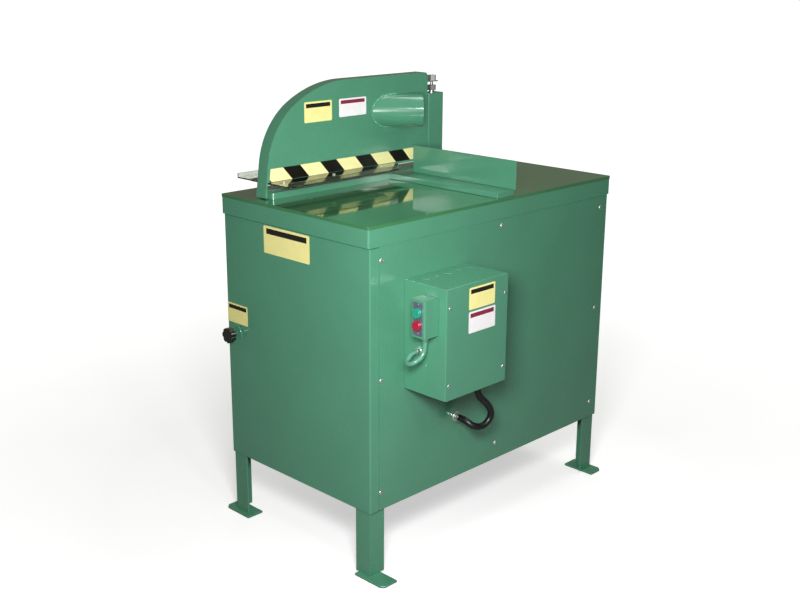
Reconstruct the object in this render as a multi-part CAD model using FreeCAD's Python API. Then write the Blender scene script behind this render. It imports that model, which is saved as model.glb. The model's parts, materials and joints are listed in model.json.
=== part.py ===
import FreeCAD, Part
import math
import os
from FreeCAD import Vector

# Upcut saw: a blade on a pivoting arm rises through the table under a guard that slides on a column.
# Millimetres. X to the operator's right, Y from the operator to the back, Z up from the floor.
# The origin is the centre of the table's outline, on the floor.

# Clearances shared by every fit
RUN = 0.05          # radial gap of a running fit
FREE = 0.4          # gap between faces that pass each other freely
CUT = 1.0           # how far a cut runs past the face it opens
EDGE_TOL = 0.01     # corners closer than this share a coordinate

# Table lid
TABLE_W = 558.8
TABLE_D = 965.2
TABLE_Z = 914.4
TOP_T = 7.9
SKIRT_H = 44.5
SKIRT_T = 3.2
SKIRT_FLANGE = 40.0
SKIRT_INSET = 0.8
TABLE_CORNER_R = 5.0

# Cabinet
CAB_INSET_SIDE = 2.4
CAB_INSET_FRONT = 6.6
CAB_INSET_BACK = 8.6
CAB_BOTTOM = 182.0
PANEL_T = 3.2
DOOR_T = 2.5
DOOR_GAP = 3.0
DOOR_FLANGE = 26.0
DOOR_CORNER_R = 3.0
LEG_SIZE = 50.8
LEG_T = 4.8
LEG_GAP_X = 1.8
LEG_GAP_FRONT = 0.5
RAIL_H_LOW = 63.5
RAIL_H_TOP = 38.1
RAIL_FLANGE = 35.0
RAIL_T = 3.2
FOOT_L = 101.6
FOOT_W = 52.0
FOOT_T = 6.35
FOOT_CLIP = 10.0
FOOT_OVERHANG = 14.0
FOOT_OUT_NEAR = 60.0
FOOT_OUT_OTHER = 34.0

# Screws of the covers, and how far in from the edges they sit
SCREW_R = 3.0
SCREW_HEAD_R = 6.0
SCREW_HEAD_H = 3.0
SCREW_FRONT_IN = 6.0
SCREW_BACK_IN = 28.0
SCREW_TOP_IN = 35.0
SCREW_LOW_IN = 48.0
SCREW_MID_Z = 526.5
BOX_SCREW_HEAD_R = 4.5
BOX_SCREW_HEAD_H = 2.0
BOX_SCREW_R = 2.0
BOX_SCREW_SIDE_IN = 11.0
BOX_SCREW_LOW_IN = 39.0
BOX_SCREW_TOP_IN = 48.0

# Door hinge and latch
HINGE_R = 2.1
HINGE_PIN_R = 1.1
HINGE_INSET = 2.1
HINGE_SEAM = 2.5
HINGE_KNUCKLES = 9
HINGE_LEAF_T = 1.4
HINGE_LEAF_FIXED_D = 3.0
HINGE_LEAF_DOOR_D = 10.0
HINGE_PANEL_GAP = 0.6
KNOB_IN = 31.0
KNOB_Z = 534.0
KNOB_R = 21.0
KNOB_T = 15.0
KNOB_STANDOFF = 14.0
KNOB_LOBES = 7
KNOB_SCALLOP = 0.55
KNOB_GRIP = 4.0
KNOB_NECK_R = 8.0
STUD_R = 4.0
PAWL_L = 36.0
PAWL_W = 14.0
PAWL_T = 4.0
NOTCH_H = 40.0
NOTCH_SIDE = 12.0
ESCUTCHEON_R = 28.0
ESCUTCHEON_T = 1.5

# Throat bars and blade slot
BLADE_X = -152.5
BAR_T = 15.9
BAR_W = 20.5
BAR_GAP = 16.0
BAR_FRONT = -434.0
BAR_CORNER_R = 6.0
SLOT_FRONT = -345.0
SLOT_BACK = 130.0

# Fence
FENCE_BASE_FRONT = -12.0
FENCE_BASE_D = 66.0
FENCE_BASE_END = 272.0
FENCE_T = 6.35
FENCE_H = 76.2
FENCE_LEFT = -90.0
FENCE_BOLTS = 3
FENCE_BOLT_R = 4.8
FENCE_BOLT_DEPTH = 10.0
FENCE_BOLT_HOLE = 12.0
FENCE_BOLT_AF = 16.0
FENCE_BOLT_HEAD = 6.5
FENCE_BOLT_IN = 30.0

# Guard
GUARD_W = 38.1
GUARD_T = 3.0
GUARD_TOP = 1200.0
GUARD_NOSE_Y = -450.7
GUARD_NOSE_Z = 917.0
GUARD_LEAN = 82.3
GUARD_R1 = 205.0
GUARD_R2 = 349.0
GUARD_SPLIT = 30.0
GUARD_BACK = 150.0
GUARD_BACK_R = 12.0
GUARD_LIP_Z = 950.5
SHIELD_W = 85.5
SHIELD_T = 3.5
SHIELD_LIP = 13.0
SHIELD_FRONT = -443.0
SHIELD_BACK = 10.0
SHIELD_CUT = 65.0
SHIELD_FLANGE = 40.0
SHIELD_SCREW_OUT = 28.5
SHIELD_SCREW_R = 2.4
SHIELD_SCREW_HEAD_R = 4.6
SHIELD_SCREW_HEAD_H = 2.6
SHIELD_NUT_AF = 8.0
SHIELD_NUT_H = 3.2
SHIELD_SCREW_PROUD = 0.3
SHIELD_FLANGE_FRONT = 8.0
SHIELD_SCREW_Y = (-412.0, -239.0, -64.0)
GUARD_LIFT = 75.0

# Dust pipe
PIPE_R = 44.45
PIPE_T = 2.0
PIPE_Y = -2.0
PIPE_Z = 1104.0
PIPE_TURN = 50.0
PIPE_L = 90.0
PIPE_ROOT = 80.0     # length drawn behind the seam, before it is trimmed to the guard's face
PIPE_MOUTH = 25.0
PIPE_MOUTH_L = 60.0

# Guard column and its lift cylinder
COLUMN_D = 63.5
COLUMN_T = 3.2
COLUMN_GAP = 5.0
COLUMN_TOP = 1139.0
COLUMN_R = 5.0
COLUMN_SLOT_W = 11.0
SLIDE_H = 90.0
SLIDE_T = 12.0
SLIDE_BOLT_R = 4.0
SLIDE_BOLT_RIM = 3.0
SLIDE_BOLT_HEAD = 5.0
SLIDE_BOLT_PLACES = (0.25, 0.75)
SLIDE_RISE = 50.0
SLOT_LOW = 8.0
SLOT_HIGH = 7.0
LIFT_BODY_R = 13.0
LIFT_BORE_R = 10.5
LIFT_ROD_R = 4.0
LIFT_NECK_R = 7.5
LIFT_WASHER_T = 2.0
LIFT_NUT_RISE = 6.5
LIFT_BORE_FLOOR = 8.0
LIFT_BORE_CAP = 12.0
LIFT_PISTON_Z = 12.0
LIFT_PISTON_H = 12.0
LIFT_ROD_TIP = 16.0
LIFT_NUT_AF = 22.0
LIFT_NUT_H = 15.0
BRACKET_T = 3.0
BRACKET_RISE = 10.0
BRACKET_LEAF = 22.0
BRACKET_SIDE_IN = 6.0
BRACKET_REACH = 14.0
BRACKET_SCREW_R = 5.0
BRACKET_SCREW_H = 4.0

# Saw arm, arbor and blade
PIVOT_Y = 170.0
PIVOT_Z = 735.0
ARBOR_Y = -125.0
ARBOR_Z = 672.0
SWING = 35.5
ARM_T = 12.7
ARM_LEFT = -122.0
ARM_RIGHT = 48.0
ARM_PIVOT_RIM = 12.0
CROSS_TUBE_R = 22.0
CROSS_TUBE_IN = 1.0
CROSS_REACH = 60.0
LUG_R = 24.0
PIVOT_TUBE_LEFT = -222.0
PIVOT_R = 15.9
PIVOT_TUBE_R = 30.0
BUSH_T = 4.0
BUSH_L = 40.0
HANGER_T = 9.5
HANGER_GAP = 3.0
HANGER_D = 120.0
HANGER_R = 40.0
SHAFT_HEAD_RIM = 5.0
SHAFT_HEAD_T = 6.0
SHAFT_END = 4.0
BEARING_R = 31.0
BEARING_W = 16.0
ARBOR_R = 14.95
ARBOR_NOSE_R = 12.7
ARBOR_HOUSING_R = 42.0
BLADE_R = 228.6
BLADE_T = 3.0
BLADE_TEETH = 60
BLADE_GULLET = 7.0
TOOTH_FORM = ((0.0, 0.0), (0.12, 0.0), (0.55, 0.6), (0.9, 1.0))
COLLAR_R = 44.4
COLLAR_T = 10.0
ARBOR_NUT_AF = 38.0
ARBOR_NUT_T = 14.0
PULLEY_L = 36.0
PULLEY_LEFT = 70.0
SHAFT_PROUD = 3.0
ARBOR_PULLEY_R = 42.0
MOTOR_PULLEY_R = 75.0
BELT_W = 12.0
BELT_T = 8.0
BELT_PITCH = 17.0
GROOVE_W = 13.5
GROOVE_D = 9.0

# Motor
MOTOR_IN = 119.0
MOTOR_Z = 735.0
MOTOR_R = 100.0
MOTOR_LEFT = -190.0
MOTOR_RIGHT = 22.0
MOTOR_SHAFT_R = 14.3
MOTOR_SHAFT_IN = 10.0
MOTOR_FOOT_T = 12.5
MOTOR_BELL = 34.0
MOTOR_FRAME_IN = 8.0
MOTOR_FOOT_L = 40.0
MOTOR_FOOT_Y = 60.0
MOTOR_FOOT_FROM_LEFT = 44.0
MOTOR_FOOT_FROM_RIGHT = 84.0
MOTOR_FOOT_TOP = 50.0
TERMINAL_HALF_W = 45.0
TERMINAL_HALF_D = 40.0
TERMINAL_LOW = 60.0
TERMINAL_HIGH = 130.0
PLATFORM_T = 12.7
PLATFORM_D = 186.0
PLATFORM_SIDE = 10.0
NECK_FRONT = (60.0, 55.0)
NECK_BACK = (45.0, 10.0)
NECK_TOP = 20.0

# Air cylinder that raises the arm
CYL_X = -40.0
CYL_R = 36.0
CYL_BORE_R = 31.75
CYL_LEN = 230.0
CYL_CAP = 22.0
CYL_CAP_R = 6.0
CYL_BARREL_IN = 3.0
CYL_TIE_R = 4.0
CYL_TIE_IN = 7.0
CYL_TIE_END = 2.0
CYL_FOOT = 6.0
CYL_PISTON_H = 24.0
CYL_ROD_R = 9.5
LUG_RADIUS = 185.0
LUG_T = 15.9
PIN_R = 6.35
PIN_SLACK = 1.2
PIN_PROUD = 4.0
LUG_SIDE_GAP = 1.0
SLOT_SPARE = 2.0
CLEVIS_T = 8.0
CLEVIS_W = 34.0
CLEVIS_DROP = 50.0
CLEVIS_FLOOR = 14.0
BEAM_W = 50.8
BEAM_T = 3.2

# Control box and push-button station
BOX_DEPTH = 140.0
BOX_IN = 116.0
BOX_W = 223.0
BOX_BOTTOM = 488.0
BOX_H = 280.0
BOX_T = 2.0
BOX_LIP = 18.0
COVER_INSET = 1.0
KNOCKOUT_X = 32.0
KNOCKOUTS = ((-319.0, 11.0), (-281.0, 8.0), (-240.0, 14.0), (-198.0, 8.0), (-160.0, 11.0))
KNOCKOUT_H = 0.8
COVER_CORNER_R = 2.0
STARTER_BASE = (60.0, 40.0, 60.0)
STARTER_RELAY = (30.0, 30.0, 20.0, 50.0)
STATION_OUT = 70.5
STATION_W = 44.5
STATION_D = 49.0
STATION_RISE = 163.0
STATION_H = 94.0
STATION_T = 3.0
STATION_R = 3.0
STATION_PLATE_W = 29.6
STATION_PLATE_H = 81.0
STATION_PLATE_T = 1.5
STATION_SCREW_R = 3.2
STATION_SCREW_H = 1.6
STATION_SCREW_IN = 4.5
BUTTON_R = 12.3
BUTTON_OUT = 8.0
BUTTON_RIM_R = 2.0
BUTTON_STEM = 6.0
BUTTON_FLANGE = 1.6
BUTTON_FLANGE_END = 3.0
START_RISE = 61.7
STOP_RISE = 30.6

# Conduits between the boxes: outside diameters, and the points of their routes.
# A route is measured from the cabinet's side, the box's front face and the box's underside.
BEND_SHARE = 0.45     # how much of a straight run its bend takes up
SMALL_D = 12.0
SMALL_SLEEVE = 1.5
SMALL_NUT = 2.0
SMALL_NUT_T = 4.0
SMALL_ROUTE = (
    (93.0, -24.0, 152.0),
    (93.0, -24.0, 130.0),
    (92.0, -34.0, 110.0),
    (87.0, -54.0, 101.0),
    (70.0, -57.0, 92.0),
    (55.0, -47.0, 95.0),
    (54.0, -29.0, 111.0),
    (54.0, -14.0, 111.0),
)
POWER_D = 18.0
POWER_SLEEVE = 2.0
POWER_NUT = 3.5
POWER_NUT_T = 5.0
NUT_NOTCHES = 8
NUT_NOTCH_R = 1.2
POWER_ROUTE = (
    (73.0, 192.0, -14.0),
    (73.0, 192.0, -50.0),
    (74.0, 242.0, -92.0),
    (74.0, 256.0, -126.0),
    (67.0, 230.0, -152.0),
    (57.0, 200.0, -145.0),
    (37.0, 192.0, -130.0),
    (17.0, 192.0, -130.0),
)

# Sizes that follow from the ones above
TOP_UNDER = TABLE_Z - TOP_T
CAB_TOP = TOP_UNDER - SKIRT_H
CAB_HALF_W = TABLE_W / 2 - CAB_INSET_SIDE
CAB_FRONT = -TABLE_D / 2 + CAB_INSET_FRONT
CAB_BACK = TABLE_D / 2 - CAB_INSET_BACK
LEG_X = CAB_HALF_W - PANEL_T - LEG_GAP_X
LEG_FRONT = CAB_FRONT + DOOR_T + LEG_GAP_FRONT
LEG_BACK = CAB_BACK - PANEL_T
PAWL_FRONT = LEG_FRONT + LEG_T + FREE
RAIL_X = CAB_HALF_W - PANEL_T
RAIL_FRONT = LEG_FRONT + LEG_SIZE
RAIL_BACK = LEG_BACK - LEG_SIZE
KNOB_X = -CAB_HALF_W + KNOB_IN
HINGE_X = CAB_HALF_W - HINGE_INSET
HINGE_Y = CAB_FRONT + DOOR_FLANGE + HINGE_SEAM
SIDE_PANEL_FRONT = HINGE_Y + HINGE_SEAM + HINGE_PANEL_GAP
BAR_TOP = TABLE_Z + BAR_T
BAR_INNER = BAR_GAP / 2
FENCE_BASE_LEFT = BLADE_X + BAR_INNER + BAR_W
FENCE_BASE_BACK = FENCE_BASE_FRONT + FENCE_BASE_D
FENCE_BOLT_Y = FENCE_BASE_FRONT + FENCE_BASE_D / 2
FENCE_RIGHT = TABLE_W / 2
GUARD_HALF = GUARD_W / 2
GUARD_RIGHT = BLADE_X + GUARD_HALF
GUARD_LEFT = BLADE_X - GUARD_HALF
LIP_TOP = GUARD_LIP_Z + GUARD_T
SHIELD_TOP = LIP_TOP + SHIELD_T
COLUMN_FRONT = GUARD_BACK + COLUMN_GAP
COLUMN_BACK = COLUMN_FRONT + COLUMN_D
COLUMN_Y = (COLUMN_FRONT + COLUMN_BACK) / 2
SLIDE_BOTTOM = TABLE_Z + SLIDE_RISE
LIFT_NUT_Z = COLUMN_TOP + LIFT_NUT_RISE
BRACKET_Z = LIFT_NUT_Z + LIFT_NUT_H + BRACKET_RISE
MOTOR_Y = CAB_BACK - MOTOR_IN
PLATFORM_TOP = MOTOR_Z - MOTOR_R - MOTOR_FOOT_T
PLATFORM_FRONT = MOTOR_Y - PLATFORM_D / 2
ARBOR_LEFT = BLADE_X - BLADE_T / 2 - COLLAR_T - ARBOR_NUT_T - 4.0
PULLEY_RIGHT = PULLEY_LEFT + PULLEY_L
LUG_ANGLE = SWING / 2
LUG_Y = PIVOT_Y - LUG_RADIUS * math.cos(math.radians(LUG_ANGLE))
LUG_Z = PIVOT_Z - LUG_RADIUS * math.sin(math.radians(LUG_ANGLE))
CYL_Y = PIVOT_Y - LUG_RADIUS * (1 + math.cos(math.radians(LUG_ANGLE))) / 2
PIN_REACH = PIVOT_Y - CYL_Y
PIN_Z = PIVOT_Z - PIN_REACH * math.tan(math.radians(LUG_ANGLE))
SLOT_HALF = PIN_REACH / math.cos(math.radians(LUG_ANGLE)) - LUG_RADIUS + PIN_R + SLOT_SPARE
CLEVIS_BOTTOM = PIN_Z - CLEVIS_DROP
RAIL_TOP_Z = CAB_BOTTOM + RAIL_H_LOW
BEAM_TOP = RAIL_TOP_Z + BEAM_W
CYL_TOP = BEAM_TOP + CYL_LEN
BOX_RIGHT = CAB_HALF_W + BOX_DEPTH
BOX_FRONT = CAB_FRONT + BOX_IN
BOX_BACK = BOX_FRONT + BOX_W
BOX_TOP = BOX_BOTTOM + BOX_H
STATION_FRONT = BOX_FRONT - STATION_D
STATION_X = CAB_HALF_W + STATION_OUT
STATION_MID_X = STATION_X + STATION_W / 2
STATION_Z = BOX_BOTTOM + STATION_RISE
START_Z = STATION_Z + START_RISE
STOP_Z = STATION_Z + STOP_RISE


# Shape helpers

def box(x0, x1, y0, y1, z0, z1):
    return Part.makeBox(x1 - x0, y1 - y0, z1 - z0, Vector(x0, y0, z0))


def rod_x(radius, x0, x1, y, z):
    return Part.makeCylinder(radius, x1 - x0, Vector(x0, y, z), Vector(1, 0, 0))


def rod_y(radius, y0, y1, x, z):
    return Part.makeCylinder(radius, y1 - y0, Vector(x, y0, z), Vector(0, 1, 0))


def rod_z(radius, z0, z1, x, y):
    return Part.makeCylinder(radius, z1 - z0, Vector(x, y, z0))


def round_box(x0, x1, y0, y1, z0, z1, radius):
    """A box whose four upright edges are rounded."""
    solid = box(x0, x1, y0, y1, z0, z1)
    upright = [e for e in solid.Edges if abs(e.Vertexes[0].Z - e.Vertexes[1].Z) > EDGE_TOL]
    return solid.makeFillet(radius, upright)


def round_box_x(x0, x1, y0, y1, z0, z1, radius):
    """A box whose four edges along X are rounded."""
    solid = box(x0, x1, y0, y1, z0, z1)
    along = [e for e in solid.Edges if abs(e.Vertexes[0].X - e.Vertexes[1].X) > EDGE_TOL]
    return solid.makeFillet(radius, along)


def prism_x(points, x0, x1):
    """A straight-sided outline in the YZ plane, drawn out along X."""
    corners = [Vector(x0, y, z) for y, z in points]
    face = Part.Face(Part.makePolygon(corners + corners[:1]))
    return face.extrude(Vector(x1 - x0, 0, 0))


def prism_z(points, z0, z1):
    """A straight-sided outline in the XY plane, drawn up along Z."""
    corners = [Vector(x, y, z0) for x, y in points]
    face = Part.Face(Part.makePolygon(corners + corners[:1]))
    return face.extrude(Vector(0, 0, z1 - z0))


def hexagon(across_flats, a, b):
    """Corners of a hexagon round the point (a, b)."""
    reach = across_flats / math.sqrt(3)
    turns = [math.radians(60 * i) for i in range(6)]
    return [(a + reach * math.cos(turn), b + reach * math.sin(turn)) for turn in turns]


def hex_z(across_flats, z0, z1, x, y):
    return prism_z(hexagon(across_flats, x, y), z0, z1)


def hex_x(across_flats, x0, x1, y, z):
    return prism_x(hexagon(across_flats, y, z), x0, x1)


def link_plate(y0, z0, r0, y1, z1, r1, x0, x1):
    """A plate round two circles and the tangent lines between them."""
    span = math.hypot(y1 - y0, z1 - z0)
    heading = math.atan2(z1 - z0, y1 - y0)
    open_angle = math.acos((r0 - r1) / span)
    points = []
    for y, z, r, turn in (
        (y0, z0, r0, heading + open_angle),
        (y0, z0, r0, heading - open_angle),
        (y1, z1, r1, heading - open_angle),
        (y1, z1, r1, heading + open_angle),
    ):
        points.append((y + r * math.cos(turn), z + r * math.sin(turn)))
    web = prism_x(points, x0, x1)
    ends = [rod_x(r0, x0, x1, y0, z0), rod_x(r1, x0, x1, y1, z1)]
    return web.fuse(ends).removeSplitter()


def save(name, shapes):
    """Write one node. A list is written as a group of separate solids."""
    if isinstance(shapes, list):
        shapes = Part.makeCompound(shapes)
    os.makedirs("parts", exist_ok=True)
    shapes.exportStep("parts/" + name + ".step")
    print(name, "solids", len(shapes.Solids), "volume", round(shapes.Volume), "valid", shapes.isValid())


# Table lid, legs, rails and cover panels

def table_top():
    half_w = TABLE_W / 2
    half_d = TABLE_D / 2
    plate = round_box(-half_w, half_w, -half_d, half_d, TOP_UNDER, TABLE_Z, TABLE_CORNER_R)
    slot = box(BLADE_X - BAR_INNER, BLADE_X + BAR_INNER, SLOT_FRONT, SLOT_BACK, TOP_UNDER - CUT, TABLE_Z + CUT)
    plate = plate.cut(slot)
    for x in fence_bolt_places():
        plate = plate.cut(rod_z(FENCE_BOLT_R + FREE, TOP_UNDER - CUT, TABLE_Z + CUT, x, FENCE_BOLT_Y))
    return plate


def table_skirt():
    half_w = TABLE_W / 2 - SKIRT_INSET
    half_d = TABLE_D / 2 - SKIRT_INSET
    outer = round_box(-half_w, half_w, -half_d, half_d, CAB_TOP, TOP_UNDER, TABLE_CORNER_R)
    in_w = half_w - SKIRT_T
    in_d = half_d - SKIRT_T
    hollow = box(-in_w, in_w, -in_d, in_d, CAB_TOP + SKIRT_T, TOP_UNDER + CUT)
    well_w = half_w - SKIRT_FLANGE
    well_d = half_d - SKIRT_FLANGE
    well = box(-well_w, well_w, -well_d, well_d, CAB_TOP - CUT, TOP_UNDER + CUT)
    return outer.cut([hollow, well])


def leg(side, end):
    """Angle iron with its corner outwards. side is 1 on the right, end is 1 at the back."""
    corner_y = LEG_BACK if end > 0 else LEG_FRONT
    out = side * LEG_X
    tip_x = out - side * LEG_SIZE
    tip_y = corner_y - end * LEG_SIZE
    web_x = out - side * LEG_T
    web_y = corner_y - end * LEG_T
    low_y = min(corner_y, tip_y)
    side_web = box(min(out, web_x), max(out, web_x), low_y, max(corner_y, tip_y), FOOT_T, CAB_TOP)
    end_web = box(min(out, tip_x), max(out, tip_x), min(corner_y, web_y), max(corner_y, web_y), FOOT_T, CAB_TOP)
    solid = side_web.fuse(end_web).removeSplitter()
    if side < 0 and end < 0:
        half = NOTCH_H / 2
        deep = KNOB_X - NOTCH_SIDE
        notch = box(deep, tip_x + CUT, corner_y - CUT, web_y + CUT, KNOB_Z - half, KNOB_Z + half)
        solid = solid.cut(notch)
    return solid


def foot(side, end):
    """Foot plate with its outer corner clipped."""
    near = side > 0 and end < 0
    reach = FOOT_OUT_NEAR if near else FOOT_OUT_OTHER
    out = side * (LEG_X + reach)
    tip = out - side * FOOT_L
    corner_y = LEG_BACK if end > 0 else LEG_FRONT
    edge = corner_y + end * FOOT_OVERHANG
    far = edge - end * FOOT_W
    points = [
        (tip, edge),
        (out - side * FOOT_CLIP, edge),
        (out, edge - end * FOOT_CLIP),
        (out, far),
        (tip, far),
    ]
    return prism_z(points, 0, FOOT_T)


def side_rail(side, z0, height, ledge_z):
    """Angle between the two legs of one side, its ledge turned inwards."""
    face = side * RAIL_X
    back = face - side * RAIL_T
    ledge = face - side * RAIL_FLANGE
    web = box(min(face, back), max(face, back), RAIL_FRONT, RAIL_BACK, z0, z0 + height)
    shelf = box(min(face, ledge), max(face, ledge), RAIL_FRONT, RAIL_BACK, ledge_z, ledge_z + RAIL_T)
    return web.fuse(shelf).removeSplitter()


def end_rail(end, z0, height, ledge_z):
    """Angle between the two legs of the front or the back."""
    face = LEG_BACK if end > 0 else LEG_FRONT
    back = face - end * RAIL_T
    ledge = face - end * RAIL_FLANGE
    half = LEG_X - LEG_SIZE
    web = box(-half, half, min(face, back), max(face, back), z0, z0 + height)
    shelf = box(-half, half, min(face, ledge), max(face, ledge), ledge_z, ledge_z + RAIL_T)
    return web.fuse(shelf).removeSplitter()


def cabinet_rails():
    rails = []
    low_ledge = RAIL_TOP_Z - RAIL_T
    top_z = CAB_TOP - RAIL_H_TOP
    top_ledge = CAB_TOP - RAIL_T
    for turn in (-1, 1):
        rails.append(side_rail(turn, CAB_BOTTOM, RAIL_H_LOW, low_ledge))
        rails.append(end_rail(turn, CAB_BOTTOM, RAIL_H_LOW, low_ledge))
        rails.append(side_rail(turn, top_z, RAIL_H_TOP, top_ledge))
        rails.append(end_rail(turn, top_z, RAIL_H_TOP, top_ledge))
    return rails


def side_screw_places():
    """Y and Z of the screws of a side panel."""
    front = SIDE_PANEL_FRONT + SCREW_FRONT_IN
    back = LEG_BACK - SCREW_BACK_IN
    high = CAB_TOP - SCREW_TOP_IN
    low = CAB_BOTTOM + SCREW_LOW_IN
    middle = (front + back) / 2
    return [
        (front, high),
        (middle, CAB_TOP - RAIL_H_TOP / 2),
        (back, high),
        (front, SCREW_MID_Z),
        (back, SCREW_MID_Z),
        (front, low),
        (middle, low),
        (back, low),
    ]


def back_screw_places():
    reach = LEG_X - LEG_SIZE / 2
    heights = (CAB_BOTTOM + SCREW_LOW_IN, SCREW_MID_Z, CAB_TOP - SCREW_TOP_IN)
    return [(x, z) for x in (-reach, reach) for z in heights]


def side_panel(side):
    outer = side * CAB_HALF_W
    inner = side * RAIL_X
    x0 = min(outer, inner)
    x1 = max(outer, inner)
    panel = box(x0, x1, SIDE_PANEL_FRONT, LEG_BACK, CAB_BOTTOM, CAB_TOP)
    return panel.cut([rod_x(SCREW_R + FREE, x0 - CUT, x1 + CUT, y, z) for y, z in side_screw_places()])


def back_panel():
    panel = box(-CAB_HALF_W, CAB_HALF_W, LEG_BACK, CAB_BACK, CAB_BOTTOM, CAB_TOP)
    return panel.cut([rod_y(SCREW_R + FREE, LEG_BACK - CUT, CAB_BACK + CUT, x, z) for x, z in back_screw_places()])


def panel_screws():
    screws = []
    for side in (-1, 1):
        for y, z in side_screw_places():
            on_rail = RAIL_BACK > y > RAIL_FRONT
            face = side * CAB_HALF_W
            tip = side * (RAIL_X if on_rail else LEG_X)
            crown = face + side * SCREW_HEAD_H
            head = rod_x(SCREW_HEAD_R, min(face, crown), max(face, crown), y, z)
            shank = rod_x(SCREW_R, min(face, tip), max(face, tip), y, z)
            screws.append(head.fuse(shank).removeSplitter())
    for x, z in back_screw_places():
        head = rod_y(SCREW_HEAD_R, CAB_BACK, CAB_BACK + SCREW_HEAD_H, x, z)
        screws.append(head.fuse(rod_y(SCREW_R, LEG_BACK, CAB_BACK, x, z)).removeSplitter())
    for y, z in cover_screw_places():
        head = rod_x(BOX_SCREW_HEAD_R, BOX_RIGHT, BOX_RIGHT + BOX_SCREW_HEAD_H, y, z)
        shank = rod_x(BOX_SCREW_R, BOX_RIGHT - BOX_T, BOX_RIGHT, y, z)
        screws.append(head.fuse(shank).removeSplitter())
    return screws


# Front door with its hinge and latch

def front_door():
    top = CAB_TOP - DOOR_GAP
    inner = CAB_HALF_W - DOOR_T
    rear = CAB_FRONT + DOOR_FLANGE
    spare = rear + DOOR_FLANGE
    end = spare + CUT
    block = round_box(-CAB_HALF_W, CAB_HALF_W, CAB_FRONT, spare, CAB_BOTTOM, top, DOOR_CORNER_R)
    hollow = box(-inner, inner, CAB_FRONT + DOOR_T, end, CAB_BOTTOM - CUT, top + CUT)
    tail = box(-CAB_HALF_W - CUT, CAB_HALF_W + CUT, rear, end, CAB_BOTTOM - CUT, top + CUT)
    hole = rod_y(STUD_R + FREE, CAB_FRONT - CUT, CAB_FRONT + DOOR_T + CUT, KNOB_X, KNOB_Z)
    return block.cut([hollow, tail, hole])


def knuckle_spans(first):
    """Heights of every second knuckle, from the first or the second one."""
    length = (CAB_TOP - DOOR_GAP - CAB_BOTTOM) / HINGE_KNUCKLES
    spans = []
    for i in range(first, HINGE_KNUCKLES, 2):
        low = CAB_BOTTOM + i * length
        spans.append((low + FREE, low + length - FREE))
    return spans


def hinge_leaf(x0, x1, y0, y1, web_y0, web_y1, spans):
    leaf = box(x0, x1, y0, y1, CAB_BOTTOM + FREE, CAB_TOP - DOOR_GAP - FREE)
    parts = []
    bores = []
    for low, high in spans:
        parts.append(rod_z(HINGE_R, low, high, HINGE_X, HINGE_Y))
        parts.append(box(x0, x1, web_y0, web_y1, low, high))
        bores.append(rod_z(HINGE_PIN_R + RUN, low - CUT, high + CUT, HINGE_X, HINGE_Y))
    return leaf.fuse(parts).removeSplitter().cut(bores)


def door_hinge_fixed():
    """Leaf on the leg with its knuckles, and the pin as a second solid."""
    y0 = HINGE_Y + HINGE_R + FREE
    y1 = y0 + HINGE_LEAF_FIXED_D
    leaf = hinge_leaf(LEG_X, LEG_X + HINGE_LEAF_T, y0, y1, HINGE_Y, y0, knuckle_spans(0))
    pin = rod_z(HINGE_PIN_R, CAB_BOTTOM + FREE, CAB_TOP - DOOR_GAP - FREE, HINGE_X, HINGE_Y)
    return [leaf, pin]


def door_hinge_leaf():
    inner = CAB_HALF_W - DOOR_T
    y1 = HINGE_Y - HINGE_R - FREE
    y0 = y1 - HINGE_LEAF_DOOR_D
    return hinge_leaf(inner - HINGE_LEAF_T, inner, y0, y1, y1, HINGE_Y, knuckle_spans(1))


def door_knob():
    """Lobed knob: a disc with scallops between its lobes."""
    back = CAB_FRONT - KNOB_STANDOFF
    front = back - KNOB_T
    knob = rod_y(KNOB_R, front, back, KNOB_X, KNOB_Z)
    cuts = []
    scallop = KNOB_SCALLOP * KNOB_R * math.pi / KNOB_LOBES
    for i in range(KNOB_LOBES):
        turn = 2 * math.pi * i / KNOB_LOBES
        x = KNOB_X + (KNOB_R + scallop / 2) * math.cos(turn)
        z = KNOB_Z + (KNOB_R + scallop / 2) * math.sin(turn)
        cuts.append(rod_y(scallop, front - CUT, back + CUT, x, z))
    neck = rod_y(KNOB_NECK_R, back, CAB_FRONT - KNOB_GRIP, KNOB_X, KNOB_Z)
    bore = rod_y(STUD_R, back - KNOB_GRIP, CAB_FRONT, KNOB_X, KNOB_Z)
    return knob.cut(cuts).fuse(neck).cut(bore)


def knob_stud():
    back = CAB_FRONT - KNOB_STANDOFF
    return rod_y(STUD_R, back - KNOB_GRIP, PAWL_FRONT + PAWL_T, KNOB_X, KNOB_Z)


def latch_pawl():
    y0 = PAWL_FRONT
    y1 = y0 + PAWL_T
    half = PAWL_W / 2
    arm = box(KNOB_X, KNOB_X + PAWL_L - half, y0, y1, KNOB_Z - half, KNOB_Z + half)
    ends = [rod_y(half, y0, y1, KNOB_X, KNOB_Z), rod_y(half, y0, y1, KNOB_X + PAWL_L - half, KNOB_Z)]
    return arm.fuse(ends).removeSplitter().cut(rod_y(STUD_R, y0 - CUT, y1 + CUT, KNOB_X, KNOB_Z))


def knob_escutcheon():
    front = CAB_FRONT - ESCUTCHEON_T
    ring = rod_y(ESCUTCHEON_R, front, CAB_FRONT, KNOB_X, KNOB_Z)
    return ring.cut(rod_y(STUD_R + FREE, front - CUT, CAB_FRONT + CUT, KNOB_X, KNOB_Z))


# Throat bars and fence

def throat_bar(side):
    inner = BLADE_X + side * BAR_INNER
    outer = inner + side * BAR_W
    bar = box(min(inner, outer), max(inner, outer), BAR_FRONT, COLUMN_FRONT, TABLE_Z, BAR_TOP)
    corner = []
    for edge in bar.Edges:
        if all(abs(v.X - outer) < EDGE_TOL and abs(v.Y - BAR_FRONT) < EDGE_TOL for v in edge.Vertexes):
            corner.append(edge)
    return bar.makeFillet(BAR_CORNER_R, corner)


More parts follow.
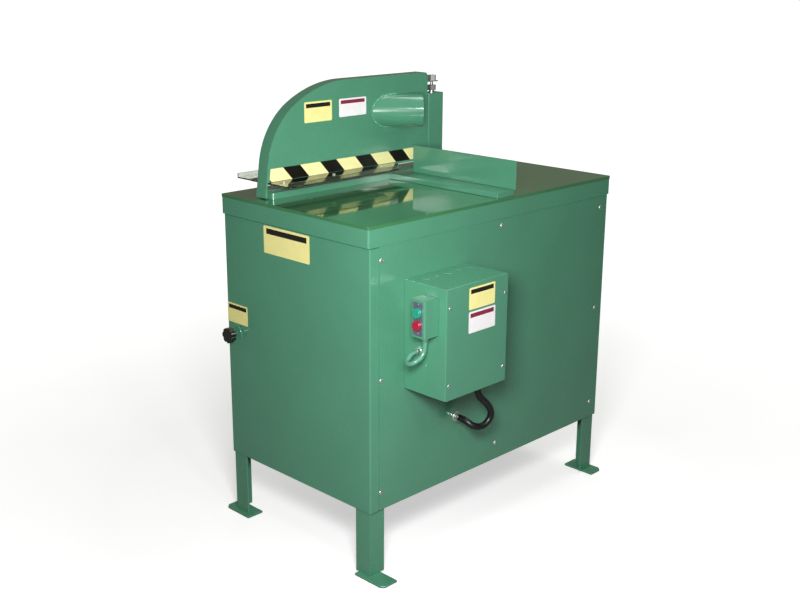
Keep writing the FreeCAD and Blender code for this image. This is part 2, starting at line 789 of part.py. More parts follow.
def fence_bolt_places():
    first = FENCE_LEFT + FENCE_BOLT_IN
    last = FENCE_BASE_END - FENCE_BOLT_IN
    return [first + (last - first) * i / (FENCE_BOLTS - 1) for i in range(FENCE_BOLTS)]


def fence_base():
    base = box(FENCE_BASE_LEFT, FENCE_BASE_END, FENCE_BASE_FRONT, FENCE_BASE_BACK, TABLE_Z, BAR_TOP)
    top = TABLE_Z + FENCE_BOLT_HOLE
    return base.cut([rod_z(FENCE_BOLT_R + RUN, TABLE_Z - CUT, top, x, FENCE_BOLT_Y) for x in fence_bolt_places()])


def fence_plate():
    y0 = FENCE_BASE_BACK - FENCE_T
    return box(FENCE_LEFT, FENCE_RIGHT, y0, FENCE_BASE_BACK, BAR_TOP, BAR_TOP + FENCE_H)


def fence_bolts():
    bolts = []
    for x in fence_bolt_places():
        shank = rod_z(FENCE_BOLT_R, TOP_UNDER, TABLE_Z + FENCE_BOLT_DEPTH, x, FENCE_BOLT_Y)
        head = hex_z(FENCE_BOLT_AF, TOP_UNDER - FENCE_BOLT_HEAD, TOP_UNDER, x, FENCE_BOLT_Y)
        bolts.append(shank.fuse(head).removeSplitter())
    return bolts


# Guard, its shields, dust pipe and column

def guard_outline(inset, x0, x1, bottom):
    """The guard's side outline, moved inwards by a wall, as a solid between two X planes."""
    lean = math.radians(GUARD_LEAN)
    split = math.radians(GUARD_SPLIT)
    top = GUARD_TOP - inset
    crown_z = GUARD_TOP - GUARD_R2
    meet_z = crown_z + GUARD_R2 * math.cos(split)
    nose_z = meet_z - GUARD_R1 * math.cos(split)
    tangent_z = nose_z + GUARD_R1 * math.cos(lean)
    tangent_y = GUARD_NOSE_Y + (tangent_z - GUARD_NOSE_Z) / math.tan(lean)
    nose_y = tangent_y + GUARD_R1 * math.sin(lean)
    crown_y = nose_y + (GUARD_R2 - GUARD_R1) * math.sin(split)

    def at(cy, cz, r, turn):
        return Vector(x0, cy - r * math.sin(turn), cz + r * math.cos(turn))

    r1 = GUARD_R1 - inset
    r2 = GUARD_R2 - inset
    back = GUARD_BACK - inset
    corner = max(GUARD_BACK_R - inset, 1.0)
    upper = at(nose_y, nose_z, r1, lean)
    lower_y = upper.y - (upper.z - bottom) / math.tan(lean)
    lower = Vector(x0, lower_y, bottom)
    meet = at(nose_y, nose_z, r1, split)
    crown = at(crown_y, crown_z, r2, 0)
    nose_mid = at(nose_y, nose_z, r1, (lean + split) / 2)
    crown_mid = at(crown_y, crown_z, r2, split / 2)
    top_end = Vector(x0, back - corner, top)
    slant = corner * (1 - math.sqrt(0.5))
    corner_mid = Vector(x0, back - slant, top - slant)
    corner_end = Vector(x0, back, top - corner)
    foot_end = Vector(x0, back, bottom)
    edges = [
        Part.makeLine(lower, upper),
        Part.Arc(upper, nose_mid, meet).toShape(),
        Part.Arc(meet, crown_mid, crown).toShape(),
        Part.makeLine(crown, top_end),
        Part.Arc(top_end, corner_mid, corner_end).toShape(),
        Part.makeLine(corner_end, foot_end),
        Part.makeLine(foot_end, lower),
    ]
    face = Part.Face(Part.Wire(edges))
    return face.extrude(Vector(x1 - x0, 0, 0))


def nose_wall_back():
    """Y of the nose wall's inner face at the height of the side walls' lip."""
    lean = math.radians(GUARD_LEAN)
    rise = (GUARD_LIP_Z - GUARD_NOSE_Z) / math.tan(lean)
    return GUARD_NOSE_Y + rise + GUARD_T / math.sin(lean)


def pipe_place():
    """Centre of the pipe's seam on the guard's face, and the pipe's direction."""
    turn = math.radians(PIPE_TURN)
    return Vector(GUARD_RIGHT, PIPE_Y, PIPE_Z), Vector(math.cos(turn), math.sin(turn), 0)


def guard_shell():
    shell = guard_outline(0, GUARD_LEFT, GUARD_RIGHT, GUARD_NOSE_Z)
    shell = shell.cut(guard_outline(GUARD_T, GUARD_LEFT + GUARD_T, GUARD_RIGHT - GUARD_T, GUARD_NOSE_Z - CUT))
    foot = GUARD_NOSE_Z - CUT
    below = box(GUARD_LEFT - CUT, GUARD_RIGHT + CUT, nose_wall_back(), GUARD_BACK + CUT, foot, GUARD_LIP_Z)
    shell = shell.cut(below)
    front = SHIELD_FRONT + SHIELD_FLANGE_FRONT
    back = SHIELD_BACK - SHIELD_CUT
    for side in (-1, 1):
        wall = BLADE_X + side * GUARD_HALF
        edge = wall + side * SHIELD_FLANGE
        flange = box(min(wall, edge), max(wall, edge), front, back, GUARD_LIP_Z, LIP_TOP)
        shell = shell.fuse(flange)
    shell = shell.removeSplitter()
    seam, along = pipe_place()
    mouth = Part.makeCylinder(PIPE_R - PIPE_T, PIPE_MOUTH_L, seam - along * PIPE_MOUTH, along)
    keep = box(BLADE_X, GUARD_RIGHT + CUT, GUARD_NOSE_Y, GUARD_BACK, GUARD_LIP_Z, GUARD_TOP)
    shell = shell.cut(mouth.common(keep))
    for z in slide_bolt_places():
        shell = shell.cut(rod_y(SLIDE_BOLT_R + RUN, GUARD_BACK - GUARD_T - CUT, GUARD_BACK + CUT, BLADE_X, z))
    for x, y in shield_screw_places():
        shell = shell.cut(rod_z(SHIELD_SCREW_R + RUN, GUARD_LIP_Z - CUT, LIP_TOP + CUT, x, y))
    return shell


def dust_pipe():
    seam, along = pipe_place()
    reach = PIPE_ROOT + PIPE_L
    start = seam - along * PIPE_ROOT
    tube = Part.makeCylinder(PIPE_R, reach, start, along)
    tube = tube.cut(Part.makeCylinder(PIPE_R - PIPE_T, reach + 2 * CUT, start - along * CUT, along))
    y0 = PIPE_Y - reach
    y1 = PIPE_Y + reach
    return tube.cut(box(GUARD_RIGHT - reach, GUARD_RIGHT, y0, y1, PIPE_Z - reach, PIPE_Z + reach))


def shield_screw_places():
    places = []
    for side in (-1, 1):
        for y in SHIELD_SCREW_Y:
            places.append((BLADE_X + side * (GUARD_HALF + SHIELD_SCREW_OUT), y))
    return places


def shield(side):
    """Clear sheet beside the guard, with an upturned lip and its rear corner cut off."""
    wall = BLADE_X + side * GUARD_HALF
    edge = wall + side * SHIELD_W
    lip = edge - side * SHIELD_T
    corner = SHIELD_BACK - SHIELD_CUT
    points = [
        (wall, SHIELD_FRONT),
        (edge, SHIELD_FRONT),
        (edge, corner),
        (wall + side * (SHIELD_W - SHIELD_CUT), SHIELD_BACK),
        (wall, SHIELD_BACK),
    ]
    sheet = prism_z(points, LIP_TOP, SHIELD_TOP)
    upturn = box(min(lip, edge), max(lip, edge), SHIELD_FRONT, corner, LIP_TOP, LIP_TOP + SHIELD_LIP)
    sheet = sheet.fuse(upturn).removeSplitter()
    places = shield_screw_places()
    return sheet.cut([rod_z(SHIELD_SCREW_R + RUN, LIP_TOP - CUT, SHIELD_TOP + CUT, x, y) for x, y in places])


def slide_bolt_places():
    """Heights of the two bolts that tie the guard to its slide block."""
    return [SLIDE_BOTTOM + SLIDE_H * share for share in SLIDE_BOLT_PLACES]


def guard_screws():
    screws = []
    for x, y in shield_screw_places():
        nut_z = GUARD_LIP_Z - SHIELD_NUT_H
        shank = rod_z(SHIELD_SCREW_R, nut_z - SHIELD_SCREW_PROUD, SHIELD_TOP, x, y)
        head = rod_z(SHIELD_SCREW_HEAD_R, SHIELD_TOP, SHIELD_TOP + SHIELD_SCREW_HEAD_H, x, y)
        nut = hex_z(SHIELD_NUT_AF, nut_z, GUARD_LIP_Z, x, y)
        screws.append(shank.fuse([head, nut]).removeSplitter())
    inner = GUARD_BACK - GUARD_T
    rim = SLIDE_BOLT_R + SLIDE_BOLT_RIM
    for z in slide_bolt_places():
        shank = rod_y(SLIDE_BOLT_R, inner, COLUMN_FRONT + COLUMN_T + FREE + SLIDE_T, BLADE_X, z)
        head = rod_y(rim, inner - SLIDE_BOLT_HEAD, inner, BLADE_X, z)
        spacer = rod_y(rim, GUARD_BACK, COLUMN_FRONT - FREE, BLADE_X, z)
        screws.append(shank.fuse([head, spacer]).removeSplitter())
    return screws


def guard_slide_block():
    half = GUARD_HALF - COLUMN_T - FREE
    y0 = COLUMN_FRONT + COLUMN_T + FREE
    block = box(BLADE_X - half, BLADE_X + half, y0, y0 + SLIDE_T, SLIDE_BOTTOM, SLIDE_BOTTOM + SLIDE_H)
    return block.cut([rod_y(SLIDE_BOLT_R, y0 - CUT, y0 + SLIDE_T + CUT, BLADE_X, z) for z in slide_bolt_places()])


def lift_bracket():
    z1 = BRACKET_Z + BRACKET_T
    half = GUARD_HALF - BRACKET_SIDE_IN
    leaf_back = GUARD_BACK + BRACKET_T
    leaf = box(BLADE_X - half, BLADE_X + half, GUARD_BACK, leaf_back, z1 - BRACKET_LEAF, z1)
    arm = box(BLADE_X - half, BLADE_X + half, GUARD_BACK, COLUMN_Y + BRACKET_REACH, BRACKET_Z, z1)
    screw_z = z1 - BRACKET_LEAF / 2 - CUT
    head = rod_y(BRACKET_SCREW_R, leaf_back, leaf_back + BRACKET_SCREW_H, BLADE_X - half / 2, screw_z)
    hole = rod_z(LIFT_ROD_R + RUN, BRACKET_Z - CUT, z1 + CUT, BLADE_X, COLUMN_Y)
    return leaf.fuse([arm, head]).removeSplitter().cut(hole)


def guard_column():
    x0 = BLADE_X - GUARD_HALF
    x1 = BLADE_X + GUARD_HALF
    tube = round_box(x0, x1, COLUMN_FRONT, COLUMN_BACK, TABLE_Z, COLUMN_TOP, COLUMN_R)
    hollow = box(x0 + COLUMN_T, x1 - COLUMN_T, COLUMN_FRONT + COLUMN_T, COLUMN_BACK - COLUMN_T,
                 TABLE_Z - CUT, COLUMN_TOP - COLUMN_T)
    half = COLUMN_SLOT_W / 2
    low, high = slide_bolt_places()
    slot = box(BLADE_X - half, BLADE_X + half, COLUMN_FRONT - CUT, COLUMN_FRONT + COLUMN_T + CUT,
               low - SLOT_LOW, high + GUARD_LIFT + SLOT_HIGH)
    hole = rod_z(LIFT_NECK_R + FREE, COLUMN_TOP - COLUMN_T - CUT, COLUMN_TOP + CUT, BLADE_X, COLUMN_Y)
    return tube.cut([hollow, slot, hole])


def lift_cylinder():
    """Barrel inside the column, with the nose nut that holds it to the column's cap."""
    top = COLUMN_TOP - COLUMN_T
    nut_top = LIFT_NUT_Z + LIFT_NUT_H
    cap_z = top - LIFT_BORE_CAP
    barrel = rod_z(LIFT_BODY_R, TABLE_Z, top, BLADE_X, COLUMN_Y)
    neck = rod_z(LIFT_NECK_R, top, LIFT_NUT_Z, BLADE_X, COLUMN_Y)
    washer = rod_z(LIFT_NUT_AF / 2, COLUMN_TOP, COLUMN_TOP + LIFT_WASHER_T, BLADE_X, COLUMN_Y)
    nut = hex_z(LIFT_NUT_AF, LIFT_NUT_Z, nut_top, BLADE_X, COLUMN_Y)
    bore = rod_z(LIFT_BORE_R, TABLE_Z + LIFT_BORE_FLOOR, cap_z, BLADE_X, COLUMN_Y)
    guide = rod_z(LIFT_ROD_R + RUN, cap_z - CUT, nut_top + CUT, BLADE_X, COLUMN_Y)
    return barrel.fuse([neck, washer, nut]).removeSplitter().cut([bore, guide])


def lift_rod():
    foot_z = TABLE_Z + LIFT_PISTON_Z
    rod = rod_z(LIFT_ROD_R, foot_z, BRACKET_Z + BRACKET_T + LIFT_ROD_TIP, BLADE_X, COLUMN_Y)
    piston = rod_z(LIFT_BORE_R - RUN, foot_z, foot_z + LIFT_PISTON_H, BLADE_X, COLUMN_Y)
    return rod.fuse(piston).removeSplitter()


def lift_rod_nut():
    z0 = BRACKET_Z + BRACKET_T
    z1 = z0 + LIFT_NUT_H
    nut = hex_z(LIFT_NUT_AF, z0, z1, BLADE_X, COLUMN_Y)
    return nut.cut(rod_z(LIFT_ROD_R, z0 - CUT, z1 + CUT, BLADE_X, COLUMN_Y))


# Saw arm, its pivot, the arbor and the drive

def arm_plate(x0, x1):
    """Side plate of the arm, from the arbor housing past the pivot to the motor platform."""
    rim = PIVOT_TUBE_R + ARM_PIVOT_RIM
    front = link_plate(ARBOR_Y, ARBOR_Z, ARBOR_HOUSING_R, PIVOT_Y, PIVOT_Z, rim, x0, x1)
    low = PLATFORM_TOP - PLATFORM_T
    back = PLATFORM_FRONT + PLATFORM_D
    points = [
        (PIVOT_Y - NECK_FRONT[0], PIVOT_Z - NECK_FRONT[1]),
        (PLATFORM_FRONT - PLATFORM_SIDE, low),
        (back, low),
        (back, PLATFORM_TOP),
        (PLATFORM_FRONT + PLATFORM_SIDE, PLATFORM_TOP),
        (PIVOT_Y + NECK_BACK[0], PIVOT_Z - NECK_BACK[1]),
        (PIVOT_Y, PIVOT_Z + NECK_TOP),
    ]
    return front.fuse(prism_x(points, x0, x1)).removeSplitter()


def cylinder_lug():
    """Lug on a cross tube. Its slot points at the arm's pivot."""
    turn = math.radians(LUG_ANGLE)
    cross_y = LUG_Y + CROSS_REACH * math.cos(turn)
    cross_z = LUG_Z + CROSS_REACH * math.sin(turn)
    x0 = CYL_X - LUG_T / 2
    x1 = CYL_X + LUG_T / 2
    cross = rod_x(CROSS_TUBE_R, ARM_LEFT + CROSS_TUBE_IN, ARM_RIGHT - CROSS_TUBE_IN, cross_y, cross_z)
    plate = link_plate(LUG_Y, LUG_Z, LUG_R, cross_y, cross_z, LUG_R, x0, x1)
    half_h = PIN_R + PIN_SLACK
    slot = box(x0 - CUT, x1 + CUT, LUG_Y - SLOT_HALF, LUG_Y + SLOT_HALF, LUG_Z - half_h, LUG_Z + half_h)
    slot.rotate(Vector(CYL_X, LUG_Y, LUG_Z), Vector(1, 0, 0), LUG_ANGLE)
    return cross, plate, slot


def saw_arm():
    cross, plate, slot = cylinder_lug()
    low = PLATFORM_TOP - PLATFORM_T
    back = PLATFORM_FRONT + PLATFORM_D
    shelf = box(MOTOR_LEFT - PLATFORM_SIDE, ARM_RIGHT, PLATFORM_FRONT, back, low, PLATFORM_TOP)
    body = rod_x(PIVOT_TUBE_R, PIVOT_TUBE_LEFT, ARM_RIGHT, PIVOT_Y, PIVOT_Z)
    parts = [
        rod_x(ARBOR_HOUSING_R, ARM_LEFT, ARM_RIGHT, ARBOR_Y, ARBOR_Z),
        arm_plate(ARM_LEFT, ARM_LEFT + ARM_T),
        arm_plate(ARM_RIGHT - ARM_T, ARM_RIGHT),
        shelf,
        cross,
        plate,
    ]
    body = body.fuse(parts).removeSplitter()
    bores = [
        rod_x(PIVOT_R + BUSH_T, PIVOT_TUBE_LEFT - CUT, ARM_RIGHT + CUT, PIVOT_Y, PIVOT_Z),
        rod_x(BEARING_R, ARM_LEFT - CUT, ARM_RIGHT + CUT, ARBOR_Y, ARBOR_Z),
        slot,
    ]
    return body.cut(bores)


def pivot_bushes():
    bushes = []
    for x0 in (PIVOT_TUBE_LEFT, ARM_RIGHT - BUSH_L):
        bush = rod_x(PIVOT_R + BUSH_T, x0, x0 + BUSH_L, PIVOT_Y, PIVOT_Z)
        bushes.append(bush.cut(rod_x(PIVOT_R + RUN, x0 - CUT, x0 + BUSH_L + CUT, PIVOT_Y, PIVOT_Z)))
    return bushes


def hanger_faces():
    """X spans of the two hangers, outside the pivot tube's ends."""
    left = PIVOT_TUBE_LEFT - HANGER_GAP
    right = ARM_RIGHT + HANGER_GAP
    return (left - HANGER_T, left), (right, right + HANGER_T)


def pivot_hangers():
    hangers = []
    half = HANGER_D / 2
    for x0, x1 in hanger_faces():
        plate = link_plate(PIVOT_Y, PIVOT_Z, HANGER_R, PIVOT_Y, TOP_UNDER - half, half, x0, x1)
        plate = plate.common(box(x0, x1, PIVOT_Y - half, PIVOT_Y + half, 0, TOP_UNDER - half))
        top = box(x0, x1, PIVOT_Y - half, PIVOT_Y + half, TOP_UNDER - half, TOP_UNDER)
        plate = plate.fuse(top).removeSplitter()
        hangers.append(plate.cut(rod_x(PIVOT_R + RUN, x0 - CUT, x1 + CUT, PIVOT_Y, PIVOT_Z)))
    return hangers


def pivot_shaft():
    """Fixed shaft with a head at each end, outside the hangers."""
    left, right = hanger_faces()
    x0 = left[0]
    x1 = right[1]
    shaft = rod_x(PIVOT_R, x0 - SHAFT_END, x1 + SHAFT_END, PIVOT_Y, PIVOT_Z)
    rim = PIVOT_R + SHAFT_HEAD_RIM
    left_head = rod_x(rim, x0 - SHAFT_HEAD_T, x0, PIVOT_Y, PIVOT_Z)
    right_head = rod_x(rim, x1, x1 + SHAFT_HEAD_T, PIVOT_Y, PIVOT_Z)
    return shaft.fuse([left_head, right_head]).removeSplitter()


def arbor_bearings():
    bearings = []
    for x0 in (ARM_LEFT, ARM_RIGHT - BEARING_W):
        ring = rod_x(BEARING_R, x0, x0 + BEARING_W, ARBOR_Y, ARBOR_Z)
        bearings.append(ring.cut(rod_x(ARBOR_R + RUN, x0 - CUT, x0 + BEARING_W + CUT, ARBOR_Y, ARBOR_Z)))
    return bearings


def arbor_shaft():
    shoulder = BLADE_X + BLADE_T / 2 + COLLAR_T
    nose = rod_x(ARBOR_NOSE_R, ARBOR_LEFT, shoulder, ARBOR_Y, ARBOR_Z)
    main = rod_x(ARBOR_R, shoulder, PULLEY_RIGHT + SHAFT_PROUD, ARBOR_Y, ARBOR_Z)
    return nose.fuse(main).removeSplitter()


def blade_collars():
    collars = []
    for x0 in (BLADE_X - BLADE_T / 2 - COLLAR_T, BLADE_X + BLADE_T / 2):
        disc = rod_x(COLLAR_R, x0, x0 + COLLAR_T, ARBOR_Y, ARBOR_Z)
        collars.append(disc.cut(rod_x(ARBOR_NOSE_R, x0 - CUT, x0 + COLLAR_T + CUT, ARBOR_Y, ARBOR_Z)))
    return collars


def arbor_nut():
    x1 = BLADE_X - BLADE_T / 2 - COLLAR_T
    nut = hex_x(ARBOR_NUT_AF, x1 - ARBOR_NUT_T, x1, ARBOR_Y, ARBOR_Z)
    return nut.cut(rod_x(ARBOR_NOSE_R, x1 - ARBOR_NUT_T - CUT, x1 + CUT, ARBOR_Y, ARBOR_Z))


def saw_blade():
    """Toothed disc: each tooth has a steep face and a sloping back."""
    points = []
    step = 2 * math.pi / BLADE_TEETH
    for i in range(BLADE_TEETH):
        for share, depth in TOOTH_FORM:
            turn = (i + share) * step
            r = BLADE_R - depth * BLADE_GULLET
            points.append((ARBOR_Y + r * math.cos(turn), ARBOR_Z + r * math.sin(turn)))
    disc = prism_x(points, BLADE_X - BLADE_T / 2, BLADE_X + BLADE_T / 2)
    return disc.cut(rod_x(ARBOR_NOSE_R, BLADE_X - BLADE_T, BLADE_X + BLADE_T, ARBOR_Y, ARBOR_Z))


def belt_centres():
    middle = (PULLEY_LEFT + PULLEY_RIGHT) / 2
    return (middle - BELT_PITCH / 2, middle + BELT_PITCH / 2)


def pulley(radius, shaft_r, y, z):
    body = rod_x(radius, PULLEY_LEFT, PULLEY_RIGHT, y, z)
    cuts = [rod_x(shaft_r, PULLEY_LEFT - CUT, PULLEY_RIGHT + CUT, y, z)]
    for x in belt_centres():
        groove = rod_x(radius + CUT, x - GROOVE_W / 2, x + GROOVE_W / 2, y, z)
        cuts.append(groove.cut(rod_x(radius - GROOVE_D, x - GROOVE_W, x + GROOVE_W, y, z)))
    return body.cut(cuts)


def drive_belts():
    """Two closed belts round both pulleys, clear of the grooves' floors."""
    belts = []
    inner_m = MOTOR_PULLEY_R - GROOVE_D + FREE
    inner_a = ARBOR_PULLEY_R - GROOVE_D + FREE
    for x in belt_centres():
        x0 = x - BELT_W / 2
        x1 = x + BELT_W / 2
        outer = link_plate(MOTOR_Y, MOTOR_Z, inner_m + BELT_T, ARBOR_Y, ARBOR_Z, inner_a + BELT_T, x0, x1)
        inner = link_plate(MOTOR_Y, MOTOR_Z, inner_m, ARBOR_Y, ARBOR_Z, inner_a, x0 - CUT, x1 + CUT)
        belts.append(outer.cut(inner))
    return belts


def motor_body():
    """Motor frame with end bells and feet, and its terminal box as a second solid."""
    frame_r = MOTOR_R - MOTOR_FRAME_IN
    frame = rod_x(frame_r, MOTOR_LEFT + MOTOR_BELL, MOTOR_RIGHT - MOTOR_BELL, MOTOR_Y, MOTOR_Z)
    parts = [
        rod_x(MOTOR_R, MOTOR_LEFT, MOTOR_LEFT + MOTOR_BELL, MOTOR_Y, MOTOR_Z),
        rod_x(MOTOR_R, MOTOR_RIGHT - MOTOR_BELL, MOTOR_RIGHT, MOTOR_Y, MOTOR_Z),
    ]
    for x0 in (MOTOR_LEFT + MOTOR_FOOT_FROM_LEFT, MOTOR_RIGHT - MOTOR_FOOT_FROM_RIGHT):
        for side in (-1, 1):
            y0 = MOTOR_Y + side * MOTOR_FOOT_Y - MOTOR_FOOT_L / 2
            x1 = x0 + MOTOR_FOOT_L
            parts.append(box(x0, x1, y0, y0 + MOTOR_FOOT_L, PLATFORM_TOP, MOTOR_Z - MOTOR_FOOT_TOP))
    body = frame.fuse(parts).removeSplitter()
    bore_end = MOTOR_LEFT + MOTOR_SHAFT_IN - FREE
    body = body.cut(rod_x(MOTOR_SHAFT_R + RUN, bore_end, MOTOR_RIGHT + CUT, MOTOR_Y, MOTOR_Z))
    x0 = (MOTOR_LEFT + MOTOR_RIGHT) / 2 - TERMINAL_HALF_W
    y0 = MOTOR_Y - TERMINAL_HALF_D
    y1 = MOTOR_Y + TERMINAL_HALF_D
    terminal = box(x0, x0 + 2 * TERMINAL_HALF_W, y0, y1, MOTOR_Z + TERMINAL_LOW, MOTOR_Z + TERMINAL_HIGH)
    return [body, terminal.cut(rod_x(frame_r, MOTOR_LEFT, MOTOR_RIGHT, MOTOR_Y, MOTOR_Z))]


def motor_shaft():
    return rod_x(MOTOR_SHAFT_R, MOTOR_LEFT + MOTOR_SHAFT_IN, PULLEY_RIGHT + SHAFT_PROUD, MOTOR_Y, MOTOR_Z)


# Air cylinder that lifts the arm

def cylinder_beam():
    """Square tube across the cabinet, on the ledges of the lower side rails."""
    half = RAIL_X - RAIL_T - FREE
    y0 = CYL_Y - BEAM_W / 2
    y1 = CYL_Y + BEAM_W / 2
    tube = box(-half, half, y0, y1, RAIL_TOP_Z, BEAM_TOP)
    bore = box(-half - CUT, half + CUT, y0 + BEAM_T, y1 - BEAM_T, RAIL_TOP_Z + BEAM_T, BEAM_TOP - BEAM_T)
    return tube.cut(bore)


def air_cylinder():
    """Barrel between two square caps, with four tie rods and a bore for the piston."""
    barrel = rod_z(CYL_R - CYL_BARREL_IN, BEAM_TOP, CYL_TOP, CYL_X, CYL_Y)
    parts = []
    for z0 in (BEAM_TOP, CYL_TOP - CYL_CAP):
        z1 = z0 + CYL_CAP
        parts.append(round_box(CYL_X - CYL_R, CYL_X + CYL_R, CYL_Y - CYL_R, CYL_Y + CYL_R, z0, z1, CYL_CAP_R))
    reach = CYL_R - CYL_TIE_IN
    for x in (CYL_X - reach, CYL_X + reach):
        for y in (CYL_Y - reach, CYL_Y + reach):
            parts.append(rod_z(CYL_TIE_R, BEAM_TOP + CYL_TIE_END, CYL_TOP - CYL_TIE_END, x, y))
    body = barrel.fuse(parts).removeSplitter()
    bore = rod_z(CYL_BORE_R, BEAM_TOP + CYL_CAP, CYL_TOP - CYL_CAP, CYL_X, CYL_Y)
    guide = rod_z(CYL_ROD_R + RUN, CYL_TOP - CYL_CAP - CUT, CYL_TOP + CUT, CYL_X, CYL_Y)
    return body.cut([bore, guide])


def cylinder_rod():
    foot_z = BEAM_TOP + CYL_CAP + CYL_FOOT
    rod = rod_z(CYL_ROD_R, foot_z, CLEVIS_BOTTOM, CYL_X, CYL_Y)
    piston = rod_z(CYL_BORE_R - RUN, foot_z, foot_z + CYL_PISTON_H, CYL_X, CYL_Y)
    return rod.fuse(piston).removeSplitter()


def cylinder_clevis():
    """Fork on the rod's end, and its pin as a second solid."""
    gap = LUG_T / 2 + LUG_SIDE_GAP
    out = gap + CLEVIS_T
    half = CLEVIS_W / 2
    block = box(CYL_X - out, CYL_X + out, CYL_Y - half, CYL_Y + half, CLEVIS_BOTTOM, PIN_Z)
    block = block.fuse(rod_x(half, CYL_X - out, CYL_X + out, CYL_Y, PIN_Z)).removeSplitter()
    floor_z = CLEVIS_BOTTOM + CLEVIS_FLOOR
    reach = half + CUT
    mouth = box(CYL_X - gap, CYL_X + gap, CYL_Y - reach, CYL_Y + reach, floor_z, PIN_Z + reach)
    fork = block.cut([mouth, rod_x(PIN_R, CYL_X - out - CUT, CYL_X + out + CUT, CYL_Y, PIN_Z)])
    pin = rod_x(PIN_R, CYL_X - out - PIN_PROUD, CYL_X + out + PIN_PROUD, CYL_Y, PIN_Z)
    return [fork, pin]


# Control box, push-button station and conduits

def cover_screw_places():
    ys = (BOX_FRONT + BOX_SCREW_SIDE_IN, BOX_BACK - BOX_SCREW_SIDE_IN)
    return [(y, z) for y in ys for z in (BOX_BOTTOM + BOX_SCREW_LOW_IN, BOX_TOP - BOX_SCREW_TOP_IN)]


def control_box():
    """Open-fronted box with an inward lip that carries the cover."""
    x1 = BOX_RIGHT - BOX_T
    shell = box(CAB_HALF_W, x1, BOX_FRONT, BOX_BACK, BOX_BOTTOM, BOX_TOP)
    hollow = box(CAB_HALF_W + BOX_T, x1 - BOX_T, BOX_FRONT + BOX_T, BOX_BACK - BOX_T,
                 BOX_BOTTOM + BOX_T, BOX_TOP - BOX_T)
    mouth = box(x1 - BOX_T - CUT, x1 + CUT, BOX_FRONT + BOX_LIP, BOX_BACK - BOX_LIP,
                BOX_BOTTOM + BOX_LIP, BOX_TOP - BOX_LIP)
    shell = shell.cut([hollow, mouth])
    discs = [rod_z(r, BOX_TOP, BOX_TOP + KNOCKOUT_H, CAB_HALF_W + KNOCKOUT_X, y) for y, r in KNOCKOUTS]
    return shell.fuse(discs).removeSplitter()


def box_cover():
    low = BOX_BOTTOM + COVER_INSET
    high = BOX_TOP - COVER_INSET
    x0 = BOX_RIGHT - BOX_T
    y0 = BOX_FRONT + COVER_INSET
    y1 = BOX_BACK - COVER_INSET
    cover = round_box_x(x0, BOX_RIGHT, y0, y1, low, high, COVER_CORNER_R)
    return cover.cut([rod_x(BOX_SCREW_R, x0 - CUT, BOX_RIGHT + CUT, y, z) for y, z in cover_screw_places()])


def motor_starter():
    """Contactor block on the box's back wall."""
    x0 = CAB_HALF_W + BOX_T
    middle_y = (BOX_FRONT + BOX_BACK) / 2
    middle_z = BOX_BOTTOM + BOX_H / 2
    deep, half_w, half_h = STARTER_BASE
    x1 = x0 + deep
    base = box(x0, x1, middle_y - half_w, middle_y + half_w, middle_z - half_h, middle_z + half_h)
    deep, half_w, low, high = STARTER_RELAY
    relay = box(x1, x1 + deep, middle_y - half_w, middle_y + half_w, middle_z - low, middle_z + high)
    return base.fuse(relay).removeSplitter()


def station_box():
    """Shell with its front towards the operator, on the control box's side."""
    x1 = STATION_X + STATION_W
    z1 = STATION_Z + STATION_H
    shell = round_box(STATION_X, x1, STATION_FRONT, BOX_FRONT, STATION_Z, z1, STATION_R)
    t = STATION_T
    hollow = box(STATION_X + t, x1 - t, STATION_FRONT + t, BOX_FRONT - t, STATION_Z + t, z1 - t)
    y0 = STATION_FRONT - CUT
    y1 = STATION_FRONT + t + CUT
    holes = [rod_y(BUTTON_R + FREE, y0, y1, STATION_MID_X, z) for z in (START_Z, STOP_Z)]
    return shell.cut([hollow] + holes)


def station_plate():
    half = STATION_PLATE_W / 2
    middle_z = STATION_Z + STATION_H / 2
    z0 = middle_z - STATION_PLATE_H / 2
    y0 = STATION_FRONT - STATION_PLATE_T
    plate = box(STATION_MID_X - half, STATION_MID_X + half, y0, STATION_FRONT, z0, z0 + STATION_PLATE_H)
    holes = [rod_y(BUTTON_R + FREE, y0 - CUT, STATION_FRONT + CUT, STATION_MID_X, z) for z in (START_Z, STOP_Z)]
    heads = []
    for z in (z0 + STATION_SCREW_IN, z0 + STATION_PLATE_H - STATION_SCREW_IN):
        heads.append(rod_y(STATION_SCREW_R, y0 - STATION_SCREW_H, y0, STATION_MID_X, z))
    return plate.cut(holes).fuse(heads).removeSplitter()


def button(z):
    """Plunger with a flange behind the station's front wall."""
    y0 = STATION_FRONT - STATION_PLATE_T - BUTTON_OUT
    back = STATION_FRONT + STATION_T
    head = rod_y(BUTTON_R, y0, back + BUTTON_STEM, STATION_MID_X, z)
    rim = [e for e in head.Edges if len(e.Vertexes) == 1 and abs(e.Vertexes[0].Y - y0) < EDGE_TOL]
    head = head.makeFillet(BUTTON_RIM_R, rim)
    flange = rod_y(BUTTON_R + BUTTON_FLANGE, back + FREE, back + BUTTON_FLANGE_END, STATION_MID_X, z)
    return head.fuse(flange).removeSplitter()


def fitting(start, direction, sleeve_r, nut_r, nut_t, length):
    """Conduit connector: a notched locknut against the wall and a sleeve that the conduit enters."""
    along = Vector(*direction)
    base = Vector(*start)
    nut = Part.makeCylinder(nut_r, nut_t, base, along)
    across = Vector(along.z, along.x, along.y)
    notches = []
    for i in range(NUT_NOTCHES):
        out = across * nut_r
        notch = Part.makeCylinder(NUT_NOTCH_R, nut_t + 2 * CUT, base + out - along * CUT, along)
        notch.rotate(base, along, 360.0 * i / NUT_NOTCHES)
        notches.append(notch)
    sleeve = Part.makeCylinder(sleeve_r, length, base, along)
    return nut.cut(notches).fuse(sleeve).removeSplitter()


